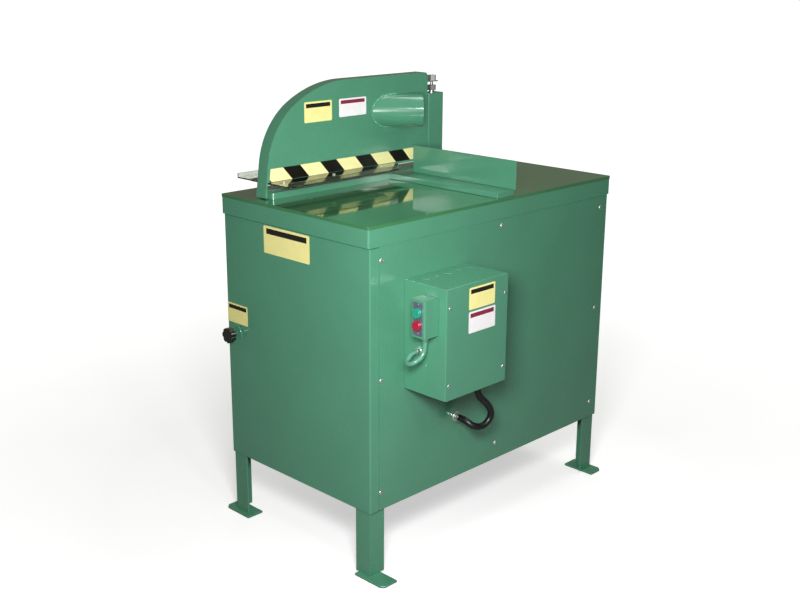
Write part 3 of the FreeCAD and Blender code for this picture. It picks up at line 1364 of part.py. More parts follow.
def route_points(route):
    return [Vector(CAB_HALF_W + out, BOX_FRONT + back, BOX_BOTTOM + up) for out, back, up in route]


def conduit_fittings():
    """Connectors: below the station, in the box's side, below the box and in the cabinet's side."""
    small_route = route_points(SMALL_ROUTE)
    power_route = route_points(POWER_ROUTE)
    small_start = small_route[0]
    small_end = small_route[-1]
    power_start = power_route[0]
    power_end = power_route[-1]
    small_r = SMALL_D / 2 + SMALL_SLEEVE
    power_r = POWER_D / 2 + POWER_SLEEVE
    small = (small_r, small_r + SMALL_NUT, SMALL_NUT_T)
    power = (power_r, power_r + POWER_NUT, POWER_NUT_T)
    return [
        fitting((small_start.x, small_start.y, STATION_Z), (0, 0, -1), *small, STATION_Z - small_start.z),
        fitting((small_end.x, BOX_FRONT, small_end.z), (0, -1, 0), *small, BOX_FRONT - small_end.y),
        fitting((power_start.x, power_start.y, BOX_BOTTOM), (0, 0, -1), *power, BOX_BOTTOM - power_start.z),
        fitting((CAB_HALF_W, power_end.y, power_end.z), (1, 0, 0), *power, power_end.x - CAB_HALF_W),
    ]


def conduit(name, route, diameter):
    """Tube along straight runs joined by tangent arcs, as large as the runs beside them allow."""
    points = route_points(route)
    edges = []
    radii = []
    start = points[0]
    for i in range(1, len(points) - 1):
        before = points[i] - points[i - 1]
        after = points[i + 1] - points[i]
        run = min(before.Length, after.Length)
        half_turn = before.getAngle(after) / 2
        cut = BEND_SHARE * run
        radii.append(cut / math.tan(half_turn))
        enter = points[i] - before.normalize() * cut
        leave = points[i] + after.normalize() * cut
        bisector = (enter + leave) / 2 - points[i]
        reach = radii[-1] * (1 / math.cos(half_turn) - 1)
        middle = points[i] + bisector.normalize() * reach
        edges.append(Part.makeLine(start, enter))
        edges.append(Part.Arc(enter, middle, leave).toShape())
        start = leave
    edges.append(Part.makeLine(start, points[-1]))
    path = Part.Wire(edges)
    heading = points[1] - points[0]
    ring = Part.Wire(Part.makeCircle(diameter / 2, points[0], heading))
    tube = path.makePipeShell([ring], True, False)
    expected = math.pi * diameter ** 2 / 4 * path.Length
    print(name, "radii", [round(r, 1) for r in radii], "length", round(path.Length, 1),
          "volume share", round(tube.Volume / expected, 4))
    return tube


save("table_top", table_top())
save("table_skirt", table_skirt())
save("legs", [leg(side, end) for side in (-1, 1) for end in (-1, 1)])
save("foot_plates", [foot(side, end) for side in (-1, 1) for end in (-1, 1)])
save("cabinet_rails", cabinet_rails())
save("side_panel_right", side_panel(1))
save("side_panel_left", side_panel(-1))
save("back_panel", back_panel())
save("panel_screws", panel_screws())
save("front_door", front_door())
save("door_hinge_fixed", door_hinge_fixed())
save("door_hinge_leaf", door_hinge_leaf())
save("door_knob", door_knob())
save("knob_stud", knob_stud())
save("latch_pawl", latch_pawl())
save("knob_escutcheon", knob_escutcheon())
save("throat_bar_left", throat_bar(-1))
save("throat_bar_right", throat_bar(1))
save("fence_base", fence_base())
save("fence_plate", fence_plate())
save("fence_bolts", fence_bolts())
save("guard_shell", guard_shell())
save("dust_pipe", dust_pipe())
save("shield_left", shield(-1))
save("shield_right", shield(1))
save("guard_screws", guard_screws())
save("guard_slide_block", guard_slide_block())
save("lift_bracket", lift_bracket())
save("guard_column", guard_column())
save("lift_cylinder", lift_cylinder())
save("lift_rod", lift_rod())
save("lift_rod_nut", lift_rod_nut())
save("saw_arm", saw_arm())
save("pivot_bushes", pivot_bushes())
save("pivot_hangers", pivot_hangers())
save("pivot_shaft", pivot_shaft())
save("arbor_bearings", arbor_bearings())
save("arbor_shaft", arbor_shaft())
save("blade_collars", blade_collars())
save("arbor_nut", arbor_nut())
save("saw_blade", saw_blade())
save("arbor_pulley", pulley(ARBOR_PULLEY_R, ARBOR_R, ARBOR_Y, ARBOR_Z))
save("drive_belts", drive_belts())
save("motor_pulley", pulley(MOTOR_PULLEY_R, MOTOR_SHAFT_R, MOTOR_Y, MOTOR_Z))
save("motor_body", motor_body())
save("motor_shaft", motor_shaft())
save("cylinder_beam", cylinder_beam())
save("air_cylinder", air_cylinder())
save("cylinder_rod", cylinder_rod())
save("cylinder_clevis", cylinder_clevis())
save("control_box", control_box())
save("box_cover", box_cover())
save("motor_starter", motor_starter())
save("station_box", station_box())
save("station_plate", station_plate())
save("start_button", button(START_Z))
save("stop_button", button(STOP_Z))
save("conduit_fittings", conduit_fittings())
save("small_conduit", conduit("small_conduit", SMALL_ROUTE, SMALL_D))
save("power_conduit", conduit("power_conduit", POWER_ROUTE, POWER_D))
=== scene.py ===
import json
import math

import bmesh
import bpy
from mathutils import Matrix, Vector


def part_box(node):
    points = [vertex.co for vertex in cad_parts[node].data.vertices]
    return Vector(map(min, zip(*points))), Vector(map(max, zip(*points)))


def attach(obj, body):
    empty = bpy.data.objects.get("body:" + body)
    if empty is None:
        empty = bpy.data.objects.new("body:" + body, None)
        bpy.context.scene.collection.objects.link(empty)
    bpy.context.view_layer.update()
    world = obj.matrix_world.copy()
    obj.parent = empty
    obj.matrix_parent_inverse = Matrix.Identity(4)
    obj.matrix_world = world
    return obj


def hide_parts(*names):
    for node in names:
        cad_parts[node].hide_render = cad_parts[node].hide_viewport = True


bl_info = {
    "name": "Upcut Saw Finish",
    "version": (1, 0, 0),
    "blender": (4, 5, 0),
    "location": "3D View > Sidebar > Upcut Saw",
    "description": "Paint, plating, tape, stickers, conduits and fasteners of an upcut saw",
    "category": "Object",
}

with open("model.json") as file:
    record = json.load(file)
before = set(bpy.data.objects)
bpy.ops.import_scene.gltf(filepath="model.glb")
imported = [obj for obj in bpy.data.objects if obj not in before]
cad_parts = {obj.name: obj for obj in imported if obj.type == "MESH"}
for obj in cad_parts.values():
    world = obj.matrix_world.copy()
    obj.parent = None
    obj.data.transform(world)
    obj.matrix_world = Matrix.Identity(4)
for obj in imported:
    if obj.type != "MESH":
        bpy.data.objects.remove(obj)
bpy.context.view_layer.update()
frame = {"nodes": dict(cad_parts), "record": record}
MM = 0.001
WHITE = (1.0, 1.0, 1.0, 1.0)
# The record's material slot of each node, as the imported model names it
NODE_SLOT = {node: piece.data.materials[0].name.split(".")[0] for node, piece in frame["nodes"].items()}


# Colours and sizes

def linear(hex_colour):
    """An sRGB colour such as 4f8f74 as linear red, green, blue and alpha."""
    parts = [int(hex_colour[i:i + 2], 16) / 255 for i in (0, 2, 4)]
    return [p / 12.92 if p <= 0.04045 else ((p + 0.055) / 1.055) ** 2.4 for p in parts] + [1.0]


def colour(name, description, hex_colour):
    """A colour that a user can change in the sidebar."""
    return bpy.props.FloatVectorProperty(
        name=name, description=description, default=linear(hex_colour), size=4, subtype="COLOR", min=0, max=1)


def length(name, description, millimetres):
    """A size that a user can change in the sidebar."""
    return bpy.props.FloatProperty(
        name=name, description=description, default=millimetres * MM, min=0,
        unit="LENGTH", subtype="DISTANCE")


class SawColours(bpy.types.PropertyGroup):
    enamel: colour("Enamel", "Machine green of the cabinet, table, fence and guard", "529476")
    # The table plate's colour is the enamel painted darker and yellower, as painted shade and warm reflection
    # on the top.
    table: colour("Table plate", "Oiled enamel of the table plate", "3f7a4e")
    zinc: colour("Zinc", "Bright zinc plate of screws, hinge and fittings", "eef0ee")
    tape_pale: colour("Tape, pale", "Pale bars of the guard tape", "fffab4")
    tape_dark: colour("Tape, dark", "Dark bars of the guard tape", "15130f")
    sticker_yellow: colour("Sticker, yellow", "Blank yellow stickers", "fbf3a2")
    sticker_white: colour("Sticker, white", "Blank white stickers", "fbf8fb")
    band_black: colour("Band, black", "Plain dark band of the yellow stickers", "1c1b18")
    band_red: colour("Band, red", "Plain red band of the white stickers", "8e2a42")
    start_button: colour("Start button", "Moulded cap of the start button", "1f9a7d")
    stop_button: colour("Stop button", "Moulded cap of the stop button", "a81c3c")
    station_plate: colour("Station plate", "Anodised plate behind the buttons", "989db2")
    power_conduit: colour("Power conduit", "Jacket of the thick conduit", "0d0e10")
    small_conduit: colour("Small conduit", "Jacket of the thin conduit", "5c9a82")


class SawSizes(bpy.types.PropertyGroup):
    plate_edge: length("Plate edge", "Rounding on the edges of thick plates", 1.5)
    bend_edge: length("Bend", "Outer rounding on the bent edges of sheet metal", 1.4)
    sheet_edge: length("Sheet edge", "Rounding on the edges of sheet metal", 0.7)
    tape_low: length("Tape, lower edge", "Height of the tape's lower edge above the floor", 957.5)
    tape_high: length("Tape, upper edge", "Height of the tape's upper edge above the floor", 991.0)
    tape_pitch: length("Tape pitch", "Distance from one dark bar to the next", 127.4)
    tape_bar: length("Tape bar", "Width of a dark bar along the tape", 58.0)
    sticker_thickness: length("Sticker thickness", "Vinyl film and its glue", 0.25)
    bead_radius: length("Weld bead", "Radius of the weld drops round the dust pipe", 3.0)
    bead_pitch: length("Weld pitch", "Distance between the weld drops", 3.6)
    small_conduit: length("Small conduit", "Outside diameter of the thin conduit", 12.0)
    power_conduit: length("Power conduit", "Outside diameter of the thick conduit", 18.0)


# Material nodes

def add(tree, kind, inputs=None, **settings):
    """Adds a node. Each input is a value, or the socket that feeds it."""
    made = tree.nodes.new(kind)
    for name, value in settings.items():
        setattr(made, name, value)
    for key, value in (inputs or {}).items():
        if isinstance(value, bpy.types.NodeSocket):
            tree.links.new(value, made.inputs[key])
        else:
            made.inputs[key].default_value = value
    return made


def maths(tree, operation, *values, **settings):
    """The result of one sum. Each of its terms is a value, or the socket that feeds it."""
    return add(tree, "ShaderNodeMath", dict(enumerate(values)), operation=operation, **settings).outputs[0]


def finish_named(name):
    """A new material with only its output and shader, and the place on the piece in millimetres."""
    material = bpy.data.materials.new(name)
    material.use_nodes = True
    tree = material.node_tree
    tree.nodes.clear()
    shader = add(tree, "ShaderNodeBsdfPrincipled")
    add(tree, "ShaderNodeOutputMaterial", {"Surface": shader.outputs[0]})
    place = add(tree, "ShaderNodeTexCoord").outputs["Object"]
    return material, tree, shader, place


def grain(tree, place, size_mm, detail=2.0, stretch=(1, 1, 1), roughness=0.5):
    """Noise whose spots are size_mm across, stretched along the axes where asked."""
    scale = 1 / (size_mm * MM)
    mapped = add(tree, "ShaderNodeMapping", {"Vector": place, "Scale": [scale * s for s in stretch]})
    noise = add(tree, "ShaderNodeTexNoise",
                {"Vector": mapped.outputs[0], "Scale": 1.0, "Detail": detail, "Roughness": roughness})
    return noise.outputs["Fac"]


NOISE_LOW, NOISE_HIGH = 0.3, 0.7   # nearly all of a noise lies between these


def between(tree, noise, low, high):
    """Turns a noise into a value from low to high."""
    return add(tree, "ShaderNodeMapRange", {
        "Value": noise, "From Min": NOISE_LOW, "From Max": NOISE_HIGH,
        "To Min": low, "To Max": high}).outputs[0]


# A mix node has sockets for every kind of data. These are the places of the colour ones.
MIX_FACTOR, MIX_FIRST, MIX_SECOND, MIX_RESULT = 0, 6, 7, 2


def mixed(tree, factor, first, second, blend="MIX"):
    """Mixes two colours by a factor. Each of the three is a value, or the socket that feeds it."""
    return add(tree, "ShaderNodeMix", {MIX_FACTOR: factor, MIX_FIRST: first, MIX_SECOND: second},
               data_type="RGBA", blend_type=blend).outputs[MIX_RESULT]


def mottled(tree, noise, dark, light):
    """A colour that a noise moves from dark to light."""
    return mixed(tree, between(tree, noise, 0, 1), dark, light)


def relief(tree, shader, height, depth_mm):
    """Bumps the surface by a height from 0 to 1, depth_mm deep."""
    bump = add(tree, "ShaderNodeBump", {"Height": height, "Strength": 1.0, "Distance": depth_mm * MM})
    tree.links.new(bump.outputs[0], shader.inputs["Normal"])


def scaled(rgba, factor):
    """A colour made darker or lighter by a factor."""
    return [min(1.0, c * factor) for c in rgba[:3]] + [1.0]


def surface(name, base, *, spread=0.05, patch_mm=90, roughness=0.4, rough_spread=0.05, grain_mm=2.0,
            relief_mm=0.01, metallic=0.0, ior=None, coat=0.0, coat_roughness=0.03, stretch=(1, 1, 1),
            fine_spread=0.0, specular=None):
    """Most finishes: broad patches in the colour, a fine grain in the gloss and the same grain as relief."""
    material, tree, shader, place = finish_named(name)
    patches = grain(tree, place, patch_mm, 3.0)
    fine = grain(tree, place, grain_mm, 3.0, stretch)
    tint = mottled(tree, patches, scaled(base, 1 - spread), scaled(base, 1 + spread))
    if fine_spread:
        speck = mottled(tree, fine, scaled(WHITE, 1 - fine_spread), WHITE)
        tint = mixed(tree, 1.0, tint, speck, "MULTIPLY")
    tree.links.new(tint, shader.inputs["Base Color"])
    gloss = between(tree, fine, roughness - rough_spread, roughness + rough_spread)
    tree.links.new(gloss, shader.inputs["Roughness"])
    relief(tree, shader, fine, relief_mm)
    shader.inputs["Metallic"].default_value = metallic
    if ior:
        shader.inputs["IOR"].default_value = ior
    if specular is not None:
        shader.inputs["Specular IOR Level"].default_value = specular
    if coat:
        shader.inputs["Coat Weight"].default_value = coat
        shader.inputs["Coat Roughness"].default_value = coat_roughness
    return material


FINISHES = {}


def finish(name):
    """A finish by its name, made once."""
    return FINISHES[name]


def make_finishes(colours):
    """Every finish of the saw. Base values are those of the real substance, then matched to the object."""
    # Alkyd enamel, sprayed and baked on sheet steel: smooth gloss, with orange peel about 3 mm across
    # and cloudy patches.
    FINISHES["baked_enamel"] = surface(
        "baked_enamel", colours.enamel, spread=0.035, patch_mm=140, roughness=0.3, rough_spread=0.04,
        grain_mm=3.0, relief_mm=0.01, ior=1.5, coat=0.9, coat_roughness=0.06, specular=0.35)
    # The same enamel on the drawn dust pipe: it flows out smoother there and shines in a line along the tube.
    # Its colour is painted 6% lighter than the enamel, a painted highlight for the pipe's bright look.
    FINISHES["tube_enamel"] = surface(
        "tube_enamel", scaled(colours.enamel, 1.06), spread=0.04, patch_mm=60, roughness=0.2,
        rough_spread=0.05, grain_mm=1.5, relief_mm=0.006, ior=1.52, coat=1.0, coat_roughness=0.09,
        stretch=(1, 1, 0.1))
    # The same enamel on the table plate, oiled and polished by the stock that slides on it, so it mirrors the
    # tape and the fence.
    # Its colour is painted darker and yellower than the enamel, as painted shade and warm reflection on the
    # top.
    FINISHES["polished_enamel_painted_shade"] = surface(
        "polished_enamel_painted_shade", colours.table, spread=0.08, patch_mm=110, roughness=0.09, rough_spread=0.03,
        grain_mm=4.0, relief_mm=0.0015, ior=1.6, coat=1.0, coat_roughness=0.03)
    # Zinc plate on turned and pressed steel: bright, slightly blue, with a fine crystal grain.
    FINISHES["zinc_plate"] = surface(
        "zinc_plate", colours.zinc, spread=0.08, patch_mm=6, roughness=0.38, rough_spread=0.08,
        grain_mm=0.6, relief_mm=0.01, metallic=1.0, fine_spread=0.12)
    # Cold drawn steel, turned: grey, with fine turning lines round the shafts, which lie along X.
    FINISHES["drawn_steel"] = surface(
        "drawn_steel", linear("a3a6a8"), spread=0.06, patch_mm=12, roughness=0.32, rough_spread=0.08,
        grain_mm=0.5, relief_mm=0.008, metallic=1.0, stretch=(1, 0.2, 0.2))
    # Cast iron, machined and lightly oiled: dark grey with a sandy skin about 1 mm across.
    FINISHES["cast_iron"] = surface(
        "cast_iron", linear("4c4d4e"), spread=0.12, patch_mm=20, roughness=0.55, rough_spread=0.08,
        grain_mm=1.2, relief_mm=0.08, metallic=0.9, fine_spread=0.25)
    # Sintered bearing bronze: warm and dull with fine pores.
    FINISHES["bearing_bronze"] = surface(
        "bearing_bronze", linear("9a7442"), spread=0.08, patch_mm=15, roughness=0.42, rough_spread=0.06,
        grain_mm=0.7, relief_mm=0.02, metallic=1.0, fine_spread=0.2)
    # Drawn and anodised aluminium tube: pale satin with fine lines along the tube.
    FINISHES["satin_aluminium"] = surface(
        "satin_aluminium", linear("b9bcbe"), spread=0.05, patch_mm=20, roughness=0.36, rough_spread=0.06,
        grain_mm=0.8, relief_mm=0.01, metallic=1.0, stretch=(1, 1, 0.1))
    # Machine grey paint on the motor's castings: satin, thick over a cast skin about 2 mm across.
    FINISHES["motor_paint"] = surface(
        "motor_paint", linear("5d6a70"), spread=0.06, patch_mm=50, roughness=0.42, rough_spread=0.06,
        grain_mm=2.2, relief_mm=0.05, ior=1.5)
    # Neoprene V-belt with a woven cover: matt black with a thread about 1 mm across.
    FINISHES["belt_rubber"] = surface(
        "belt_rubber", linear("1e1e1d"), spread=0.15, patch_mm=30, roughness=0.78, rough_spread=0.08,
        grain_mm=1.0, relief_mm=0.06, ior=1.52, fine_spread=0.3)
    # Phenolic, compression moulded and polished: deep black with a mirror skin and faint flow waves.
    FINISHES["black_phenolic"] = surface(
        "black_phenolic", linear("0b0b0b"), spread=0.2, patch_mm=25, roughness=0.16, rough_spread=0.05,
        grain_mm=4.0, relief_mm=0.02, ior=1.6, coat=0.5, coat_roughness=0.05)
    # Anodised aluminium plate, dyed grey violet: satin, with a brushed grain up the plate.
    FINISHES["dyed_plate"] = surface(
        "dyed_plate", colours.station_plate, spread=0.06, patch_mm=30, roughness=0.34, rough_spread=0.06,
        grain_mm=0.8, relief_mm=0.01, metallic=0.75, stretch=(1, 1, 0.12), fine_spread=0.15)
    # Acetal button caps, injection moulded and glossy.
    for key in ("start_button", "stop_button"):
        FINISHES[key] = surface(
            key, getattr(colours, key), spread=0.05, patch_mm=12, roughness=0.18, rough_spread=0.04,
            grain_mm=1.5, relief_mm=0.01, ior=1.48, coat=0.5, coat_roughness=0.05)
    # Flexible PVC jackets, extruded: smooth, with long faint ripples from the die.
    FINISHES["black_jacket"] = surface(
        "black_jacket", colours.power_conduit, spread=0.15, patch_mm=25, roughness=0.38, rough_spread=0.05,
        grain_mm=3.0, relief_mm=0.03, ior=1.53)
    FINISHES["green_jacket"] = surface(
        "green_jacket", colours.small_conduit, spread=0.07, patch_mm=25, roughness=0.24, rough_spread=0.05,
        grain_mm=3.0, relief_mm=0.02, ior=1.53, coat=0.4, coat_roughness=0.1)
    # Cast vinyl film of the stickers: even colour, a soft gloss and a faint print grain.
    for key in ("sticker_yellow", "sticker_white", "band_black", "band_red"):
        FINISHES[key] = surface(
            key, getattr(colours, key), spread=0.03, patch_mm=18, roughness=0.38, rough_spread=0.05,
            grain_mm=0.8, relief_mm=0.004, ior=1.5, fine_spread=0.04)
    FINISHES["guard_tape"] = tape_vinyl(colours)
    FINISHES["clear_sheet"] = clear_sheet()
    FINISHES["ground_blade"] = ground_blade()
    # Enamel over the weld drops; its colour is painted 30% lighter than the enamel, a painted highlight for
    # the gloss the rough bead catches.
    FINISHES["weld_bead"] = surface(
        "weld_bead", scaled(colours.enamel, 1.3), spread=0.12, patch_mm=5, roughness=0.16, rough_spread=0.05,
        grain_mm=1.0, relief_mm=0.05, ior=1.5, coat=1.0, coat_roughness=0.05)


TAPE_SLANT = 0.92          # how far a bar leans along the tape for each unit of height
TAPE_FIRST_BAR = -360.0    # where the first dark bar begins at the tape's lower edge, mm
TAPE_PRINT_BLUR = 0.3      # how sharp a printed edge is, mm


def tape_vinyl(colours):
    """Adhesive vinyl tape with slanted dark and pale bars and a soft gloss."""
    sizes = bpy.context.scene.saw_sizes
    material, tree, shader, place = finish_named("guard_tape")
    axes = add(tree, "ShaderNodeSeparateXYZ", {"Vector": place})
    height = maths(tree, "SUBTRACT", axes.outputs["Z"], sizes.tape_low)
    lean = maths(tree, "MULTIPLY", height, TAPE_SLANT)
    slanted = maths(tree, "ADD", lean, axes.outputs["Y"])
    shifted = maths(tree, "SUBTRACT", slanted, TAPE_FIRST_BAR * MM)
    turns = maths(tree, "DIVIDE", shifted, sizes.tape_pitch)
    part = maths(tree, "FRACT", turns)
    bar = add(tree, "ShaderNodeMapRange", {
        "Value": part,
        "From Min": sizes.tape_bar / sizes.tape_pitch,
        "From Max": (sizes.tape_bar + TAPE_PRINT_BLUR * MM) / sizes.tape_pitch})
    fine = grain(tree, place, 1.2, 3.0)
    scuffs = grain(tree, place, 14, 4.0, (1, 0.3, 1))
    pale = mottled(tree, scuffs, scaled(colours.tape_pale, 0.94), colours.tape_pale)
    bars = mixed(tree, bar.outputs[0], colours.tape_dark, pale)
    tree.links.new(bars, shader.inputs["Base Color"])
    tree.links.new(between(tree, fine, 0.34, 0.44), shader.inputs["Roughness"])
    shader.inputs["Specular IOR Level"].default_value = 0.25
    relief(tree, shader, fine, 0.006)
    shader.inputs["IOR"].default_value = 1.53
    return material


def clear_sheet():
    """Clear polycarbonate sheet, bent hot: a mirror skin with faint waves, dulled in streaks by rubbing."""
    material, tree, shader, place = finish_named("clear_sheet")
    waves = grain(tree, place, 35, 2.0)
    rubs = grain(tree, place, 2.5, 4.0, (1, 0.15, 1))
    tint = mottled(tree, waves, linear("bdc4b6"), linear("d6dbd0"))
    tree.links.new(tint, shader.inputs["Base Color"])
    tree.links.new(between(tree, rubs, 0.01, 0.09), shader.inputs["Roughness"])
    relief(tree, shader, waves, 0.25)
    shader.inputs["IOR"].default_value = 1.585
    shader.inputs["Transmission Weight"].default_value = 1.0
    return material


RING_PITCH = 0.8           # distance between the blade's grinding rings, mm


def ground_blade():
    """Saw steel, surface ground: fine rings round the arbor, and a bright satin gloss."""
    material, tree, shader, place = finish_named("ground_blade")
    arbor = (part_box("arbor_shaft")[0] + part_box("arbor_shaft")[1]) / 2
    centred = add(tree, "ShaderNodeMapping",
                  {"Vector": place, "Location": [0, -arbor.y, -arbor.z], "Scale": [0, 1, 1]})
    radius = add(tree, "ShaderNodeVectorMath", {0: centred.outputs[0]}, operation="LENGTH")
    rings = add(tree, "ShaderNodeTexNoise",
                {"W": radius.outputs["Value"], "Scale": 1 / (RING_PITCH * MM), "Detail": 3.0},
                noise_dimensions="1D")
    tint = mixed(tree, rings.outputs["Fac"], linear("9b9fa2"), linear("bfc3c5"))
    tree.links.new(tint, shader.inputs["Base Color"])
    tree.links.new(between(tree, rings.outputs["Fac"], 0.22, 0.36), shader.inputs["Roughness"])
    relief(tree, shader, rings.outputs["Fac"], 0.01)
    shader.inputs["Metallic"].default_value = 1.0
    return material


# Which finish stands for each material slot of the record
SLOT_FINISH = {
    "green_enamel": "baked_enamel", "zinc": "zinc_plate", "steel": "drawn_steel",
    "blade_steel": "ground_blade",
    "cast_iron": "cast_iron", "bronze": "bearing_bronze", "aluminium": "satin_aluminium",
    "motor_paint": "motor_paint", "belt_rubber": "belt_rubber", "clear_plastic": "clear_sheet",
    "black_plastic": "black_phenolic", "grey_plastic": "dyed_plate", "start_green": "start_button",
    "stop_red": "stop_button", "conduit_green": "green_jacket", "conduit_black": "black_jacket",
}

# Plates and sheets whose edges show rounded: the CAD node, the kind of edge, and a finish where it
# isn't the slot's
SOFT_EDGES = (
    ("table_top", "plate", "polished_enamel_painted_shade"), ("table_skirt", "bend", None), ("legs", "sheet", None),
    ("foot_plates", "plate", None), ("side_panel_right", "bend", None), ("side_panel_left", "bend", None),
    ("back_panel", "sheet", None), ("front_door", "bend", None), ("throat_bar_left", "plate", None),
    ("throat_bar_right", "plate", None), ("fence_base", "plate", None), ("fence_plate", "plate", None),
    ("guard_shell", "bend", None), ("dust_pipe", "sheet", "tube_enamel"), ("guard_column", "bend", None),
    ("control_box", "plate", None), ("box_cover", "bend", None), ("station_box", "plate", None),
    ("station_plate", "sheet", None), ("knob_escutcheon", "sheet", None), ("shield_left", "sheet", None),
    ("shield_right", "sheet", None), ("door_knob", "plate", None), ("lift_bracket", "bend", None),
    ("door_hinge_fixed", "sheet", "baked_enamel"), ("door_hinge_leaf", "sheet", "baked_enamel"),
)


# Meshes

def mesh_from(name, bm):
    """The mesh of a bmesh, which is used up."""
    mesh = bpy.data.meshes.new(name)
    bm.to_mesh(mesh)
    bm.free()
    return mesh


def place_piece(name, mesh, materials, body, replaced=()):
    """Puts a finished mesh in the scene at the origin, with its materials and body."""
    mesh.name = name
    piece = loose_object(name, mesh)
    for material in materials:
        mesh.materials.append(finish(material))
    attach(piece, body)
    if replaced:
        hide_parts(*replaced)
    return piece


def baked(piece):
    """The mesh of an object with its modifiers applied. The object itself goes."""
    graph = bpy.context.evaluated_depsgraph_get()
    graph.update()
    mesh = bpy.data.meshes.new_from_object(
        piece.evaluated_get(graph), preserve_all_data_layers=True, depsgraph=graph)
    mesh.materials.clear()
    bpy.data.objects.remove(piece)
    return mesh


def loose_object(name, data):
    """A new object in the scene, at the origin."""
    made = bpy.data.objects.new(name, data)
    bpy.context.scene.collection.objects.link(made)
    return made


def smooth(mesh, degrees):
    """Shades a mesh smooth, but for edges that turn by more than the given degrees."""
    mesh.polygons.foreach_set("use_smooth", [True] * len(mesh.polygons))
    mesh.set_sharp_from_angle(angle=math.radians(degrees))


WELD_DISTANCE = 2e-6
FLAT_DEGREES = 0.6         # faces that turn by less are one flat face
EDGE_DEGREES = 32          # edges that turn by more are rounded
SHARP_DEGREES = 38         # edges that turn by more are shaded sharp
ROOM_SHARE = 2.2           # how many roundings fit in the width of a face


def welded(node):
    """A merged copy of a CAD node."""
    bm = bmesh.new()
    bm.from_mesh(frame["nodes"][node].data)
    bmesh.ops.remove_doubles(bm, verts=bm.verts, dist=WELD_DISTANCE)
    return bm


def body_of_node(node):
    """The CAD body that a node belongs to."""
    return next(b for b, nodes in frame["record"]["behaviour"]["bodies"].items() if node in nodes)


def face_width(face):
    """Width of a long narrow face, and about half the width of a square one."""
    return 2 * face.calc_area() / max(face.calc_perimeter(), 1e-6)


def soften(node, edge, material):
    """Replaces a node by its copy with rounded edges, which catch the light as painted edges do."""
    slot = NODE_SLOT[node]
    bm = welded(node)
    bmesh.ops.dissolve_limit(bm, angle_limit=math.radians(FLAT_DEGREES), verts=bm.verts, edges=bm.edges)
    share = bm.edges.layers.float.new("bevel_weight_edge")
    for line in bm.edges:
        if (len(line.link_faces) == 2 and line.is_convex
                and line.calc_face_angle() > math.radians(EDGE_DEGREES)):
            # A narrow face leaves room for only part of the rounding.
            room = min(face_width(face) for face in line.link_faces) / (ROOM_SHARE * edge)
            line[share] = min(1.0, room)
    helper = loose_object(node + "_form", mesh_from(node + "_form", bm))
    bevel = helper.modifiers.new("edges", "BEVEL")
    bevel.width = edge
    bevel.segments = 2
    bevel.limit_method = "WEIGHT"
    bevel.use_clamp_overlap = True
    finished = baked(helper)
    smooth(finished, SHARP_DEGREES)
    body = body_of_node(node)
    piece = place_piece(node + "_finished", finished, [material or SLOT_FINISH[slot]], body, [node])
    even = piece.modifiers.new("even", "WEIGHTED_NORMAL")
    even.keep_sharp = True


def islands(node):
    """The lowest and highest corner of each separate solid of a node."""
    bm = welded(node)
    left = set(bm.verts)
    found = []
    while left:
        stack = [left.pop()]
        part = list(stack)
        while stack:
            for edge in stack.pop().link_edges:
                for vert in edge.verts:
                    if vert in left:
                        left.discard(vert)
                        stack.append(vert)
                        part.append(vert)
        low = Vector([min(v.co[i] for v in part) for i in range(3)])
        high = Vector([max(v.co[i] for v in part) for i in range(3)])
        found.append((low, high))
    bm.free()
    return sorted(found, key=lambda box: tuple(round(c, 4) for c in box[0]))


# Stage

CAMERA_PLACE = (2.138192, -2.268263, 1.500345)
CAMERA_AZIMUTH = 44.512
CAMERA_ELEVATION = 16.42
CAMERA_ROLL = 0.335
CAMERA_LENS = 51.63
CAMERA_REACH = (0.05, 60.0)

GLOSS_SHARE = 0.07         # the object stood in dim surroundings, so its gloss shows only part of the white
WORLD_FILL = 0.085         # the strength of the world as light on the object
FLOOR_HALF = 40.0
FLOOR_DROP = 0.0005        # how far the floor lies below the feet
FLOOR_NEAR, FLOOR_FAR = 0.9, 3.0             # over this distance the floor turns into the white of the world
FLOOR_GLOW_NEAR, FLOOR_GLOW_FAR = 0.55, 1.05
# Each lamp: its name, place, aim, size, watts, and whether gloss shows it. Metres.
LAMPS = (
    ("key", (1.24, -1.38, 1.27), (0.15, -0.4, 0.72), 0.36, 34, True),
    ("side", (1.6, -0.9, 1.78), (0, 0.1, 1.05), 0.25, 5, True),
    ("top", (0.3, 0.7, 2.5), (0, 0.1, 0.9), 1.2, 17, True),
    ("rear", (-2.6, 1.8, 2.2), (0, 0, 0.6), 1.6, 10, False),
)


def camera_turn():
    """The camera's rotation from its angles."""
    a, e, r = (math.radians(v) for v in (CAMERA_AZIMUTH, CAMERA_ELEVATION, CAMERA_ROLL))
    right = Vector((math.cos(a), math.sin(a), 0))
    back = Vector((math.sin(a) * math.cos(e), -math.cos(a) * math.cos(e), math.sin(e)))
    up = back.cross(right)
    right, up = right * math.cos(r) + up * math.sin(r), up * math.cos(r) - right * math.sin(r)
    return Matrix((right, up, back)).transposed().to_4x4()


def background_share(tree):
    """1 for the camera and through clear sheet, part of that in gloss, and 0 for the light on the object."""
    rays = add(tree, "ShaderNodeLightPath")
    mirrored = maths(tree, "GREATER_THAN", rays.outputs["Glossy Depth"], 0.5)
    through = maths(tree, "SUBTRACT", rays.outputs["Is Transmission Ray"], mirrored, use_clamp=True)
    seen = maths(tree, "MAXIMUM", rays.outputs["Is Camera Ray"], through)
    gloss = maths(tree, "MULTIPLY", rays.outputs["Is Glossy Ray"], GLOSS_SHARE)
    return maths(tree, "MAXIMUM", seen, gloss)


